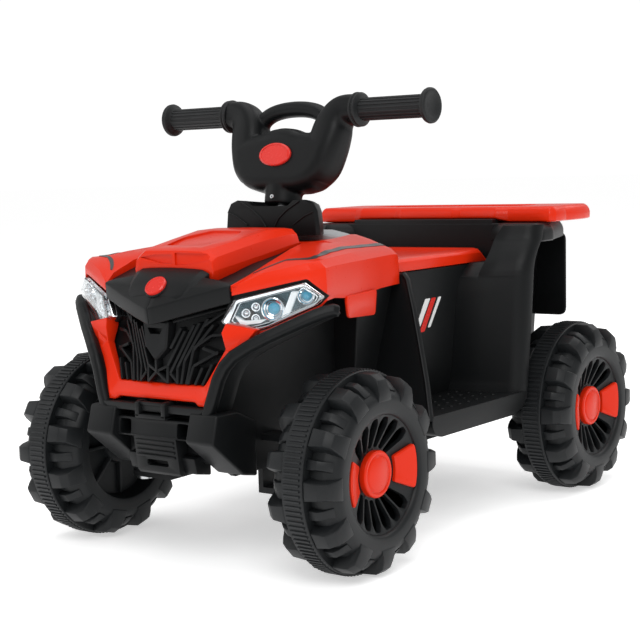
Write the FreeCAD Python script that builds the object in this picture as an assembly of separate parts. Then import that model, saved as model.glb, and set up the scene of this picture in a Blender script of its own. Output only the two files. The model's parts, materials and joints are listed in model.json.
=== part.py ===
import FreeCAD, Part
import math
import os

os.makedirs("parts", exist_ok=True)
V = FreeCAD.Vector
origin = V(0, 0, 0)
x_axis = V(1, 0, 0)
y_axis = V(0, 1, 0)
z_axis = V(0, 0, 1)

# Frame: front is -Y, the rider's left is +X, the floor is z = 0, lengths in mm.

# Overall layout
wheelbase = 448.0
track = 338.0
front_overhang = 108.0
wheel_radius = 100.0
wheel_width = 78.0

# Fits and shared walls
running_fit = 0.05
running_gap = 0.3
overrun = 6.0
shell_wall = 4.0
axle_radius = 5.0

# Wheel
band_width = 24.0
carcass_radius = 86.0
sidewall_radius = 76.0
shoulder_width = 14.0
rim_radius = 57.0
rim_lip = 5.0
dish_depth = 17.0
hub_radius = 26.0
hub_tube_radius = 16.0
pocket_radius = 12.0
pocket_depth = 6.0
wheel_wall = 3.0
inner_dish_depth = 6.0
lug_count = 16
lug_height = 11.0
lug_width = 13.0
lug_reach = 25.0
small_lug_height = 7.0
small_lug_width = 7.0
small_lug_reach = 15.0
lug_root = 2.0
lug_top_share = 0.7
spoke_slots = 7
spoke_fan_degrees = 112.0
spoke_rib_degrees = 5.0
spoke_margin = 3.0
cap_radius = 23.0
cap_height = 8.0
cap_wall = 2.0
insert_half_degrees = 23.0
insert_thickness = 4.0
nut_radius = 8.0
hex_sides = 6
nut_thickness = 4.5
axle_tail = 1.5

# Steering
rake_degrees = 14.0
head_setback = 121.0
head_rise_over_tank = 49.0
column_radius = 6.0
crank_radius = 26.7
crank_thickness = 8.0
crank_half_width = 9.0
crank_lift = 16.0
crank_pin_radius = 4.0
crank_pin_tail = 2.0
crank_slot_play = 0.8
crank_slot_half_length = 8.0
kingpin_inset = 22.0
kingpin_head_radius = 9.0
kingpin_head_height = 4.0
knuckle_half_height = 24.0
barrel_radius = 12.0
boss_radius = 11.0
stub_start = 8.0
steer_arm_length = 40.0
steer_arm_width = 16.0
steer_arm_thickness = 8.0
steer_arm_drop = 12.0
tie_pin_radius = 4.0
tie_pin_tail = 3.0
tie_rod_thickness = 6.0
tie_rod_width = 16.0
tie_tongue_half_width = 14.0
tie_tongue_margin = 6.0
open_pivot_play = 0.4

# Front chassis
chassis_half_width = 66.0
chassis_height_drop = 62.0
chassis_shelf_drop = 6.0
chassis_bottom = 95.0
chassis_nose_lift = 18.0
chassis_nose_run = 25.0
chassis_wall = 6.0
chassis_front_setback = 80.0
bracket_half_width = 13.0
bracket_thickness = 6.0
tie_window_half_length = 17.0
tie_window_half_height = 9.0
bearing_radius = 13.0
bearing_length = 20.0
bearing_lift = 36.0
bearing_plate_thickness = 6.0
column_clearance = 5.0

# Front cover
cover_half_width = 160.0
cover_tank_half_width = 132.0
cover_rear_half_width = 110.0
cover_nose_half_width = 82.0
tank_height = 320.0
tank_rear_drop = 8.0
fender_drop = 16.0
nose_drop = 32.0
cover_depth = 56.0
fender_skirt_drop = 2.0
nose_skirt_drop = 32.0
crease_ahead = 28.0
nose_ahead = 70.0
tank_front_setback = 85.0
tank_rear_setback = 160.0
cover_rear_setback = 176.0
hood_half_width = 68.0
tank_section_shares = [(1.0, 0.0), (1.0, 0.57), (0.89, 0.71), (0.47, 1.0)]
fender_section_shares = [(1.0, 0.0), (1.0, 0.86), (0.88, 1.0), (0.47, 0.9)]
nose_section_shares = [(1.0, 0.0), (1.0, 0.93), (0.95, 1.0), (0.73, 0.98)]
side_tab_drop = 22.0
side_tab_start = 24.0
side_tab_length = 58.0
cover_post_radius = 8.0
cover_post_x = 40.0
cover_post_setback = 150.0

# Grille frame and grille
frame_height = 66.0
frame_half_width = 63.0
frame_top_drop = 82.0
frame_top_half_width = 96.0
frame_leg = 21.0
frame_foot_share = 0.33
frame_bar = 15.0
frame_depth = 10.0
frame_top_ahead = 72.0
frame_lean = 22.0
grille_thickness = 4.0
grille_top_drop = 58.0
grille_slot = 7.0
grille_bar = 5.0
grille_margin = 8.0
grille_slots_each_side = 4
grille_slant_share = 0.45

# Nose cover and hood scoop
nose_plate_thickness = 5.0
nose_plate_rear_drop = 20.0
nose_plate_fall = 13.0
beak_reach = 102.0
beak_drop = 19.0
beak_depth = 23.5
beak_tip_back = 5.0
beak_brow_back = 16.0
beak_brow_drop = 4.0
beak_end_depth = 6.0
beak_end_drop = 3.0
beak_end_height = 13.0
scoop_half_width = 53.0
scoop_rear_half_width = 62.0
scoop_front_ahead = 58.0
scoop_rear_setback = 78.0
scoop_front_rise = 27.7
scoop_rear_rise = 32.3
scoop_section_shares = [(1.0, 0.0), (0.97, 0.62), (0.76, 1.0)]
badge_half_length = 15.0
badge_half_width = 9.0
badge_thickness = 2.0

# Headlights
light_outline_shares = [(0.03, 0.30), (0.17, 0.02), (0.96, 0.62), (0.80, 1.0), (0.08, 0.62)]
light_bottom_drop = 81.0
light_height = 50.0
lens_thickness = 3.0
lens_proud = 1.5
reflector_depth = 22.0
reflector_bowl_radius = 11.0
reflector_bowl_shares = [(0.30, 0.42), (0.62, 0.66)]
bulb_radius = 4.0
bulb_length = 8.0

# Bumper, winch and guards
bumper_block_outer = 84.0
bumper_block_inner = 49.0
bumper_block_drop = 9.0
bumper_block_height = 29.0
bumper_block_lean = 8.0
bumper_bar_drop = 9.0
bumper_bar_back = 11.0
bumper_hole_x = 38.0
bumper_hole_half = 8.0
bumper_hole_rise = 8.0
skid_depth = 37.0
skid_half_width = 28.0
skid_lean = 5.0
block_tail = 25.0
skid_slot_half_width = 14.0
skid_slot_height = 6.0
skid_slot_rise = 9.0
winch_half_width = 20.0
winch_side = 5.0
winch_height = 17.0
winch_depth = 20.0
winch_drum_radius = 5.0
winch_drum_gap = 0.7
guard_thickness = 12.0
guard_depth = 26.0
guard_foot_x = 66.0
guard_foot_back = 14.0
guard_bend_x = 99.0
guard_bend_ahead = 79.0
guard_bend_share = 0.615
guard_end_x = 162.0
guard_end_ahead = 29.0
guard_end_drop = 61.0

# Steering cowl and dash
cowl_half_width = 61.0
cowl_top_half_width = 56.0
cowl_height = 36.0
cowl_notch_depth = 12.0
cowl_notch_half_width = 34.0
cowl_front_setback = 94.0
cowl_depth = 38.0
cowl_wall = 3.0
bush_radius = 11.0
bush_length = 10.0
dash_half_width = 38.0
dash_length = 27.0
dash_thickness = 4.0
rocker_radius = 8.0
rocker_width = 11.0
rocker_rise = 3.0
rocker_spacing = 15.0

# Handlebar, measured along the raked column from the head
neck_half_width = 20.0
neck_half_depth = 18.0
neck_drop = 11.0
bar_rise = 85.0
bar_half_depth = 22.0
bar_half_width = 84.0
bar_top = 100.0
bar_outline_shares = [(0.36, 0.0), (0.57, 0.06), (0.74, 0.34), (0.80, 0.60), (1.0, 0.69), (1.0, 1.0),
                      (0.68, 1.0), (0.50, 0.74), (0.30, 0.62)]
bar_cavity_half_width = 40.0
bar_cavity_bottom = 14.0
bar_cavity_top = 56.0
bar_wall = 4.0
loop_half_width = 48.0
loop_foot = 78.0
loop_top = 99.0
loop_thickness = 17.0
loop_half_depth = 9.0
grip_radius = 13.0
grip_flange_radius = 18.5
grip_flange_width = 5.0
grip_length = 95.0
grip_wall = 4.0
grip_tube_inset = 16.0
badge_rise = 37.0
bar_badge_half_length = 21.0
bar_badge_half_width = 12.5
button_radius = 7.0
button_proud = 4.0
button_collar = 1.5
button_depth = 8.0
button_spacing = 22.0
button_rise = 40.0

# Body tub
tub_bottom = 84.0
tub_top_drop = 44.0
tub_bottom_gap = 46.0
tub_top_gap = 30.0
tub_front_setback = 114.0
tub_rear_setback = 56.0
floor_top = 130.0
floor_skirt = 23.0
floor_outset = 1.0
floor_front_setback = 139.0
shield_thickness = 6.0
shield_top_outset = 12.0
shield_top_drop = 58.0
shield_lean = 42.0
deck_rise = 44.0
deck_depth = 20.0
deck_rear_inset = 30.0
pillar_wall = 6.0
pillar_inner_shares = [(1.36, 0.0), (1.33, 0.73), (0.72, 0.76), (0.58, 1.0)]
pillar_outer_shares = [(1.20, 0.0), (1.01, 0.50), (0.70, 0.93), (0.66, 1.0)]
rear_wall_depth = 117.0
rear_wall_inset = 34.0
back_rest_setback = 58.0
seat_hole_half_width = 66.0
seat_hole_margin = 24.0
axle_boss_radius = 13.0
tray_thickness = 4.0
tray_rear_setback = 66.0
screw_boss_radius = 6.0
screw_boss_height = 24.0
screw_boss_x = 70.0
screw_radius = 1.8
screw_head_radius = 4.0
screw_head_height = 2.5
screw_length = 18.0
screw_row_shares = [0.10, 0.50, 0.90]

# Seat and rear trim
seat_overhang = 1.0
seat_thickness = 16.0
seat_crown_inset = 10.0
seat_edge_share = 0.6
seat_front_gap = 4.0
seat_rear_gap = 10.0
seat_corner = 22.0
trim_overhang = 2.0
trim_rear_inset = 10.0
trim_front_setback = 48.0
trim_rear_reach = 62.0
trim_thickness = 19.0
trim_bevel = 7.0
trim_recess_margin = 26.0
trim_recess_depth = 4.0

# Drive, with the motor and gearbox on the right
gear_module = 1.25
pinion_teeth = 14
wheel_teeth = 42
pressure_degrees = 25.0
addendum_share = 0.85
dedendum_share = 1.15
backlash = 0.25
flank_steps = 5
drive_gear_width = 9.0
mid_gear_width = 8.0
gear_layer_gap = 2.0
gear_hub_radius = 14.0
gear_shaft_radius = 3.0
mid_direction_degrees = 150.0
motor_direction_degrees = 140.0
case_wall = 2.5
case_clearance = 2.0
motor_radius = 18.0
motor_length = 52.0
motor_shaft_radius = 2.0
motor_hole_gap = 2.0

# Battery
battery_width = 70.0
battery_length = 110.0
battery_height = 100.0
battery_setback = 170.0
strap_width = 20.0
strap_thickness = 2.0
terminal_radius = 4.0
terminal_height = 6.0

# Pedal, on the right footboard
pedal_width = 46.0
pedal_length = 50.0
pedal_thickness = 5.0
pedal_degrees = 22.0
pedal_inset = 42.0
pedal_setback = 206.0
pedal_pivot_height = 7.0
pedal_barrel_radius = 5.0
pedal_pin_radius = 2.5
pedal_lug_width = 5.0
pedal_lug_half_length = 7.0

# Charging socket in the rear wall
socket_radius = 6.0
socket_flange_radius = 9.0
socket_flange = 2.0
socket_depth = 14.0
socket_bore = 2.8
socket_x = 60.0
socket_drop = 70.0

# Places that follow from the layout
overall_length = front_overhang + wheelbase + wheel_radius
front_y = -overall_length / 2
front_axle_y = front_y + front_overhang
rear_axle_y = front_axle_y + wheelbase
axle_z = wheel_radius
wheel_x = track / 2
half_wheel = wheel_width / 2
hub_plane = half_wheel - dish_depth
hub_face = hub_plane - pocket_depth
bore_radius = axle_radius + running_fit
kingpin_x = wheel_x - half_wheel - kingpin_inset
rake = math.radians(rake_degrees)
head_height = tank_height + head_rise_over_tank
chassis_height = tank_height - chassis_height_drop
fender_height = tank_height - fender_drop
nose_height = tank_height - nose_drop
cover_skirt = tank_height - cover_depth
frame_top = tank_height - frame_top_drop
frame_bottom = frame_top - frame_height
grille_top = tank_height - grille_top_drop
nose_plate_rear_height = tank_height - nose_plate_rear_drop
nose_plate_front_height = nose_plate_rear_height - nose_plate_fall
beak_height = nose_plate_front_height - beak_drop
beak_tip_height = beak_height - beak_depth
beak_brow_height = nose_plate_front_height - beak_brow_drop
beak_end_high = nose_plate_front_height - beak_end_drop
beak_end_low = beak_end_high - beak_end_height
light_bottom = tank_height - light_bottom_drop
light_top = light_bottom + light_height
bumper_block_top = frame_bottom - bumper_block_drop
bumper_block_bottom = bumper_block_top - bumper_block_height
bumper_bar_top = bumper_block_top - bumper_bar_drop
bumper_hole_height = bumper_block_bottom + bumper_hole_rise
skid_bottom = bumper_block_bottom - skid_depth
skid_slot_z = skid_bottom + skid_slot_rise
guard_end_height = tank_height - guard_end_drop
guard_bend_height = bumper_block_top + (guard_end_height - bumper_block_top) * guard_bend_share
tub_top = tank_height - tub_top_drop
tub_bottom_half_width = wheel_x - half_wheel - tub_bottom_gap
tub_top_half_width = wheel_x - half_wheel - tub_top_gap
floor_half_width = wheel_x + floor_outset
shield_top_half_width = tub_top_half_width + shield_top_outset
shield_top = tank_height - shield_top_drop
deck_top = tub_top + deck_rise
deck_rear_half_width = floor_half_width - deck_rear_inset
rear_wall_bottom = deck_top - rear_wall_depth
rear_wall_half_width = floor_half_width - rear_wall_inset
seat_half_width = tub_top_half_width + seat_overhang
trim_half_width = floor_half_width + trim_overhang
trim_rear_half_width = floor_half_width - trim_rear_inset
pedal_x = floor_half_width - pedal_inset
socket_height = deck_top - socket_drop
head_y = front_axle_y + head_setback
tie_pivot_y = front_axle_y + steer_arm_length
arm_top = axle_z - steer_arm_drop
tie_rod_bottom = arm_top + running_gap
tie_rod_mid = tie_rod_bottom + tie_rod_thickness / 2
column_foot = V(0, head_y - (head_height - tie_rod_mid) * math.tan(rake), tie_rod_mid)
head_rise = (head_height - tie_rod_mid) / math.cos(rake)
nose_y = front_axle_y - nose_ahead
crease_y = front_axle_y - crease_ahead
tank_front_y = front_axle_y + tank_front_setback
tank_rear_y = front_axle_y + tank_rear_setback
cover_rear_y = front_axle_y + cover_rear_setback
tub_front_y = front_axle_y + tub_front_setback
tub_rear_y = rear_axle_y + tub_rear_setback
back_rest_y = rear_axle_y - back_rest_setback
floor_front_y = front_axle_y + floor_front_setback
chassis_front_y = front_axle_y - chassis_front_setback


# Shape helpers
def block(x_pair, y_pair, z_pair):
    size = [pair[1] - pair[0] for pair in (x_pair, y_pair, z_pair)]
    return Part.makeBox(size[0], size[1], size[2], V(x_pair[0], y_pair[0], z_pair[0]))


def rod(base, along, radius, length):
    return Part.makeCylinder(radius, length, base, along)


def closed_wire(points):
    return Part.makePolygon(points + points[:1])


def prism(points, along):
    return Part.Face(closed_wire(points)).extrude(along)


def across_x(outline, x_pair):
    points = [V(x_pair[0], y, z) for y, z in outline]
    return prism(points, V(x_pair[1] - x_pair[0], 0, 0))


def across_y(outline, y_pair):
    points = [V(x, y_pair[0], z) for x, z in outline]
    return prism(points, V(0, y_pair[1] - y_pair[0], 0))


def across_z(outline, z_pair):
    points = [V(x, y, z_pair[0]) for x, y in outline]
    return prism(points, V(0, 0, z_pair[1] - z_pair[0]))


def ruled(sections):
    return Part.makeLoft([closed_wire(points) for points in sections], True, True)


def two_sided(half_outline):
    return half_outline + [(-x, other) for x, other in reversed(half_outline)]


def joined(shapes):
    return shapes[0].fuse(shapes[1:]).removeSplitter()


def mirrored(shape):
    return shape.mirror(origin, x_axis)


def both_sides(shape):
    return [shape, mirrored(shape)]


def oval(half_length, half_width, thickness):
    disc = Part.makeCylinder(half_width, thickness)
    stretch = FreeCAD.Matrix()
    stretch.A11 = half_length / half_width
    return disc.transformGeometry(stretch)


def on_column(shape):
    placed = shape.copy()
    placed.rotate(origin, x_axis, -rake_degrees)
    placed.translate(column_foot)
    return placed


def save(name, *shapes):
    whole = shapes[0] if len(shapes) == 1 else Part.Compound(list(shapes))
    whole.exportStep("parts/" + name + ".step")


# Wheel, modelled about the X axis with its outer side at +X
def turned(profile):
    points = [V(x, 0, r) for x, r in profile]
    return Part.Face(closed_wire(points)).revolve(origin, x_axis, 360)


def lug(height, width, reach, side, turn_degrees):
    start = band_width / 2
    root = carcass_radius - lug_root
    tip = carcass_radius + height
    top_end = start + reach * lug_top_share
    profile = [(start, root), (start, tip), (top_end, tip - lug_root), (start + reach, root)]
    points = [V(side * x, -width / 2, r) for x, r in profile]
    shape = prism(points, V(0, width, 0))
    shape.rotate(origin, x_axis, turn_degrees)
    return shape


def tread(side):
    pitch = 360.0 / lug_count
    lugs = [lug(lug_height, lug_width, lug_reach, side, n * pitch) for n in range(lug_count)]
    for n in range(lug_count):
        lugs.append(lug(small_lug_height, small_lug_width, small_lug_reach, side, (n + 0.5) * pitch))
    edge = side * band_width / 2
    root = carcass_radius - lug_root
    lugs.append(turned([(0, root), (0, wheel_radius), (edge, wheel_radius), (edge, root)]))
    return lugs


def cone_x(r):
    slope = (half_wheel - rim_lip - hub_plane) / (rim_radius - hub_radius)
    return hub_plane + (r - hub_radius) * slope


def wedge(r_pair, from_degrees, to_degrees, x_pair):
    corners = []
    for r, degrees in ((r_pair[0], from_degrees), (r_pair[1], from_degrees),
                       (r_pair[1], to_degrees), (r_pair[0], to_degrees)):
        angle = math.radians(degrees)
        corners.append((r * math.cos(angle), r * math.sin(angle)))
    return across_x(corners, x_pair)


def spoke_slots_for(middle_degrees):
    pitch = spoke_fan_degrees / spoke_slots
    radii = (hub_radius + spoke_margin, rim_radius - spoke_margin)
    cutters = []
    for n in range(spoke_slots):
        start = middle_degrees - spoke_fan_degrees / 2 + n * pitch + spoke_rib_degrees / 2
        end = start + pitch - spoke_rib_degrees
        cutters.append(wedge(radii, start, end, (hub_plane - wheel_wall - overrun, half_wheel)))
    return cutters


def wheel_outer():
    face = half_wheel
    back = face - wheel_wall
    shoulder = half_wheel - shoulder_width
    tread_wall = carcass_radius - wheel_wall
    lip_wall = rim_radius + wheel_wall
    shell = turned([
        (0, bore_radius), (hub_face, bore_radius), (hub_face, pocket_radius), (hub_plane, pocket_radius),
        (hub_plane, hub_radius), (face - rim_lip, rim_radius), (face, rim_radius), (face, sidewall_radius),
        (shoulder, carcass_radius), (0, carcass_radius), (0, tread_wall), (shoulder - wheel_wall, tread_wall),
        (back, sidewall_radius - wheel_wall), (back, lip_wall), (back - rim_lip, lip_wall),
        (hub_plane - wheel_wall, hub_radius + wheel_wall), (hub_plane - wheel_wall, hub_tube_radius),
        (0, hub_tube_radius)])
    whole = joined([shell] + tread(1))
    return whole.cut(spoke_slots_for(90) + spoke_slots_for(270))


def wheel_inner():
    face = half_wheel
    back = face - wheel_wall
    dish = face - inner_dish_depth
    shoulder = half_wheel - shoulder_width
    tread_wall = carcass_radius - wheel_wall
    lip_wall = rim_radius + wheel_wall
    profile = [
        (0, bore_radius), (face, bore_radius), (face, hub_tube_radius), (dish, hub_tube_radius),
        (dish, rim_radius), (face, rim_radius), (face, sidewall_radius), (shoulder, carcass_radius),
        (0, carcass_radius), (0, tread_wall), (shoulder - wheel_wall, tread_wall),
        (back, sidewall_radius - wheel_wall), (back, lip_wall), (dish - wheel_wall, lip_wall),
        (dish - wheel_wall, hub_tube_radius), (0, hub_tube_radius)]
    shell = turned([(-x, r) for x, r in profile])
    return joined([shell] + tread(-1))


def hub_cap():
    top = hub_plane + cap_height
    return turned([
        (hub_plane, cap_radius - cap_wall), (hub_plane, cap_radius), (top - cap_wall, cap_radius),
        (top, cap_radius - cap_wall), (top, 0), (top - cap_wall, 0), (top - cap_wall, cap_radius - cap_wall)])


def wheel_insert(middle_degrees):
    inner = hub_radius + spoke_margin
    outer = rim_radius - running_gap
    profile = [(cone_x(inner), inner), (cone_x(outer), outer),
               (cone_x(outer) + insert_thickness, outer), (cone_x(inner) + insert_thickness, inner)]
    points = [V(x, r, 0) for x, r in profile]
    shape = Part.Face(closed_wire(points)).revolve(origin, x_axis, 2 * insert_half_degrees)
    shape.rotate(origin, x_axis, middle_degrees - insert_half_degrees)
    return shape


def axle_nut():
    points = []
    for n in range(hex_sides):
        angle = 2 * math.pi * n / hex_sides
        points.append((nut_radius * math.cos(angle), nut_radius * math.sin(angle)))
    start = hub_face + running_gap
    blank = across_x(points, (start, start + nut_thickness))
    return blank.cut(rod(origin, x_axis, bore_radius, wheel_width))


def at_wheel(shape, side, axle_y):
    placed = shape.copy()
    if side < 0:
        placed.rotate(origin, z_axis, 180)
    placed.translate(V(side * wheel_x, axle_y, axle_z))
    return placed


axle_end = wheel_x + hub_face + running_gap + nut_thickness + axle_tail
outer_shell = wheel_outer()
inner_shell = wheel_inner()
cap = hub_cap()
nut = axle_nut()
corners = [("front_left", 1, front_axle_y), ("front_right", -1, front_axle_y),
           ("rear_left", 1, rear_axle_y), ("rear_right", -1, rear_axle_y)]
for corner, side, axle_y in corners:
    save(corner + "_wheel_outer", at_wheel(outer_shell, side, axle_y))
    save(corner + "_wheel_inner", at_wheel(inner_shell, side, axle_y))
    trim_pieces = [at_wheel(piece, side, axle_y) for piece in (cap, wheel_insert(0), wheel_insert(180))]
    save(corner + "_hub_trim", *trim_pieces)
rear_axle = rod(V(-axle_end, rear_axle_y, axle_z), x_axis, axle_radius, 2 * axle_end)
save("rear_axle", rear_axle, at_wheel(nut, 1, rear_axle_y), at_wheel(nut, -1, rear_axle_y))


# Steering knuckles, on vertical kingpins
def knuckle():
    low = axle_z - knuckle_half_height + running_gap
    barrel = rod(V(kingpin_x, front_axle_y, low), z_axis, barrel_radius, 2 * (axle_z - low))
    boss_end = wheel_x - half_wheel - running_gap
    boss = rod(V(kingpin_x, front_axle_y, axle_z), x_axis, boss_radius, boss_end - kingpin_x)
    arm_pair = (arm_top - steer_arm_thickness, arm_top)
    half = steer_arm_width / 2
    arm = block((kingpin_x - half, kingpin_x + half), (front_axle_y, tie_pivot_y), arm_pair)
    arm_base = V(kingpin_x, tie_pivot_y, arm_pair[0])
    arm_end = rod(arm_base, z_axis, half, steer_arm_thickness)
    pin_length = steer_arm_thickness + running_gap + tie_rod_thickness + tie_pin_tail
    pin = rod(arm_base, z_axis, tie_pin_radius, pin_length)
    whole = joined([barrel, boss, arm, arm_end, pin])
    kingpin_bore = rod(V(kingpin_x, front_axle_y, 0), z_axis, bore_radius, head_height)
    stub_base = V(kingpin_x + stub_start, front_axle_y, axle_z)
    stub_bore = rod(stub_base, x_axis, axle_radius, wheel_width)
    return whole.cut([kingpin_bore, stub_bore])


def stub_axle():
    base = V(kingpin_x + stub_start, front_axle_y, axle_z)
    return rod(base, x_axis, axle_radius, axle_end - kingpin_x - stub_start)


bracket_low = axle_z - knuckle_half_height
bracket_high = axle_z + knuckle_half_height
kingpin_length = bracket_high - bracket_low + 2 * bracket_thickness


def kingpin_bolt():
    base = V(kingpin_x, front_axle_y, bracket_low - bracket_thickness)
    shank = rod(base, z_axis, axle_radius, kingpin_length)
    top = base + V(0, 0, kingpin_length)
    head = rod(top, z_axis, kingpin_head_radius, kingpin_head_height)
    foot = rod(base - V(0, 0, kingpin_head_height), z_axis, kingpin_head_radius, kingpin_head_height)
    return joined([shank, head, foot])


left_knuckle = knuckle()
save("knuckle_left", left_knuckle)
save("knuckle_right", mirrored(left_knuckle))
save("stub_axle_left", stub_axle(), at_wheel(nut, 1, front_axle_y))
save("stub_axle_right", mirrored(stub_axle()), at_wheel(nut, -1, front_axle_y))
save("kingpin_bolts", *both_sides(kingpin_bolt()))

# Tie rod: a flat bar with a slotted tongue for the crank pin
pin_meets_rise = crank_radius * math.tan(rake)
slot_y = column_foot.y + crank_radius * math.cos(rake) + pin_meets_rise * math.sin(rake)
tie_pair = (tie_rod_bottom, tie_rod_bottom + tie_rod_thickness)
tie_half = tie_rod_width / 2
tongue_end = slot_y + crank_slot_half_length + tie_tongue_margin
tie_bar = block((-kingpin_x, kingpin_x), (tie_pivot_y - tie_half, tie_pivot_y + tie_half), tie_pair)
tie_eyes = [rod(V(side * kingpin_x, tie_pivot_y, tie_rod_bottom), z_axis, tie_half, tie_rod_thickness)
            for side in (1, -1)]
tongue = block((-tie_tongue_half_width, tie_tongue_half_width), (tie_pivot_y, tongue_end), tie_pair)
slot_half = crank_pin_radius + crank_slot_play
slot = block((-slot_half, slot_half), (slot_y - crank_slot_half_length, slot_y + crank_slot_half_length),
             (tie_pair[0] - overrun, tie_pair[1] + overrun))
left_eye = rod(V(kingpin_x, tie_pivot_y, 0), z_axis, tie_pin_radius + running_fit, head_height)
right_eye = rod(V(-kingpin_x, tie_pivot_y, 0), z_axis, tie_pin_radius + open_pivot_play, head_height)
save("tie_rod", joined([tie_bar, tongue] + tie_eyes).cut([slot, left_eye, right_eye]))

# Steering column with its crank, built upright and then raked
column_top = head_rise + bar_cavity_bottom
column = rod(V(0, 0, crank_lift), z_axis, column_radius, column_top - crank_lift)
crank = block((-crank_half_width, crank_half_width), (0, crank_radius),
              (crank_lift, crank_lift + crank_thickness))
crank_ends = [rod(V(0, y, crank_lift), z_axis, crank_half_width, crank_thickness) for y in (0, crank_radius)]
crank_pin = rod(V(0, crank_radius, -crank_pin_tail), z_axis, crank_pin_radius, crank_lift + crank_pin_tail)
save("steering_column", on_column(joined([column, crank, crank_pin] + crank_ends)))


# Leaning plane of the grille frame, which the grille and the chassis front follow
def frame_face_y(z):
    share = (frame_top - z) / (frame_top - frame_bottom)
    return front_axle_y - frame_top_ahead - frame_lean * share


def grille_back_y(z):
    return frame_face_y(z) + frame_depth + grille_thickness + running_gap


# Front chassis: an open channel with the kingpin brackets and the column bearing
def front_chassis():
    half = chassis_half_width
    inner = half - chassis_wall
    outline = [(chassis_front_y, chassis_bottom + chassis_nose_lift),
               (chassis_front_y + chassis_nose_run, chassis_bottom), (tub_front_y, chassis_bottom),
               (tub_front_y, chassis_height), (grille_back_y(chassis_height), chassis_height),
               (grille_back_y(frame_bottom), frame_bottom),
               (chassis_front_y, frame_bottom - chassis_shelf_drop)]
    outer = across_x(outline, (-half, half))
    roof = chassis_height - chassis_wall
    hollow_outline = [(chassis_front_y + chassis_wall, chassis_bottom - overrun),
                      (tub_front_y + overrun, chassis_bottom - overrun), (tub_front_y + overrun, roof),
                      (grille_back_y(roof) + chassis_wall, roof),
                      (grille_back_y(frame_bottom) + chassis_wall, frame_bottom - chassis_shelf_drop),
                      (chassis_front_y + chassis_wall, frame_bottom - chassis_wall - chassis_shelf_drop)]
    hollow = across_x(hollow_outline, (-inner, inner))
    plate_mid = tie_rod_mid + (bearing_lift + bearing_length / 2) * math.cos(rake)
    plate_pair = (plate_mid - bearing_plate_thickness / 2, plate_mid + bearing_plate_thickness / 2)
    plate = block((-half, half), (front_axle_y, tub_front_y), plate_pair)
    bearing = on_column(rod(V(0, 0, bearing_lift), z_axis, bearing_radius, bearing_length))
    bracket_y_pair = (front_axle_y - bracket_half_width, front_axle_y + bracket_half_width)
    web_z_pair = (bracket_low - bracket_thickness, chassis_bottom + chassis_wall)
    web = block((inner, half), bracket_y_pair, web_z_pair)
    arms = both_sides(web)
    for z_pair in ((bracket_low - bracket_thickness, bracket_low),
                   (bracket_high, bracket_high + bracket_thickness)):
        arm = block((inner, kingpin_x), bracket_y_pair, z_pair)
        end = rod(V(kingpin_x, front_axle_y, z_pair[0]), z_axis, bracket_half_width, bracket_thickness)
        arms += both_sides(arm) + both_sides(end)
    whole = joined([outer.cut(hollow), plate, bearing] + arms)
    bore_run = bearing_lift + bearing_length
    holes = [on_column(rod(V(0, 0, crank_lift), z_axis, column_radius + running_fit, bore_run))]
    top_hole_start = bore_run + overrun
    holes.append(on_column(rod(V(0, 0, top_hole_start), z_axis, column_radius + column_clearance, head_rise)))
    holes += both_sides(rod(V(kingpin_x, front_axle_y, 0), z_axis, axle_radius, head_height))
    holes.append(block((-half - overrun, half + overrun),
                       (tie_pivot_y - tie_window_half_length, tie_pivot_y + tie_window_half_length),
                       (tie_rod_mid - tie_window_half_height, tie_rod_mid + tie_window_half_height)))
    return whole.cut(holes)


save("front_chassis", front_chassis())


# Front cover: fenders, tank and grille frame in one moulding
def cover_sections(inset):
    table = [
        (cover_rear_y - inset, cover_rear_half_width, cover_skirt, tank_height - tank_rear_drop,
         tank_section_shares),
        (tank_rear_y, cover_rear_half_width, cover_skirt, tank_height, tank_section_shares),
        (tank_front_y, cover_tank_half_width, cover_skirt, tank_height, tank_section_shares),
        (crease_y, cover_half_width, cover_skirt - fender_skirt_drop, fender_height, fender_section_shares),
        (nose_y + inset, cover_nose_half_width - inset, cover_skirt - nose_skirt_drop, nose_height,
         nose_section_shares)]
    sections = []
    for y, half, skirt, top, shares in table:
        bottom = skirt - (overrun if inset else 0)
        half_outline = []
        for x_share, z_share in shares:
            z = bottom if z_share == 0 else skirt + (top - skirt) * z_share - inset
            half_outline.append(((half - inset) * x_share, z))
        sections.append([V(x, y, z) for x, z in two_sided(half_outline)])
    return sections


def cover_side_x(y):
    share = (y - crease_y) / (tank_front_y - crease_y)
    return cover_half_width + (cover_tank_half_width - cover_half_width) * share


def frame_slab(from_depth, to_depth, top):
    low_y = frame_face_y(frame_bottom)
    top_y = frame_face_y(top)
    outline = [(low_y + from_depth, frame_bottom), (top_y + from_depth, top),
               (top_y + to_depth, top), (low_y + to_depth, frame_bottom)]
    return across_x(outline, (-cover_half_width, cover_half_width))


frame_y_pair = (front_y - overrun, front_axle_y)


def grille_frame():
    knee = frame_top - frame_bar
    outer = [(frame_half_width, frame_bottom), (frame_top_half_width, knee),
             (frame_top_half_width, frame_top)]
    hole_low = frame_bottom + frame_bar
    hole_top_half = frame_top_half_width - frame_leg
    hole = [(frame_half_width - frame_leg * frame_foot_share, hole_low), (hole_top_half, knee),
            (hole_top_half, frame_top + overrun)]
    ring = across_y(two_sided(outer), frame_y_pair).cut(across_y(two_sided(hole), frame_y_pair))
    return ring.common(frame_slab(0, frame_depth, frame_top))


face_start = V(cover_nose_half_width, nose_y, 0)
face_end = V(cover_half_width, crease_y, 0)
face_run = face_end - face_start
face_along = V(face_run).normalize()
face_out = V(face_along.y, -face_along.x, 0)


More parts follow.
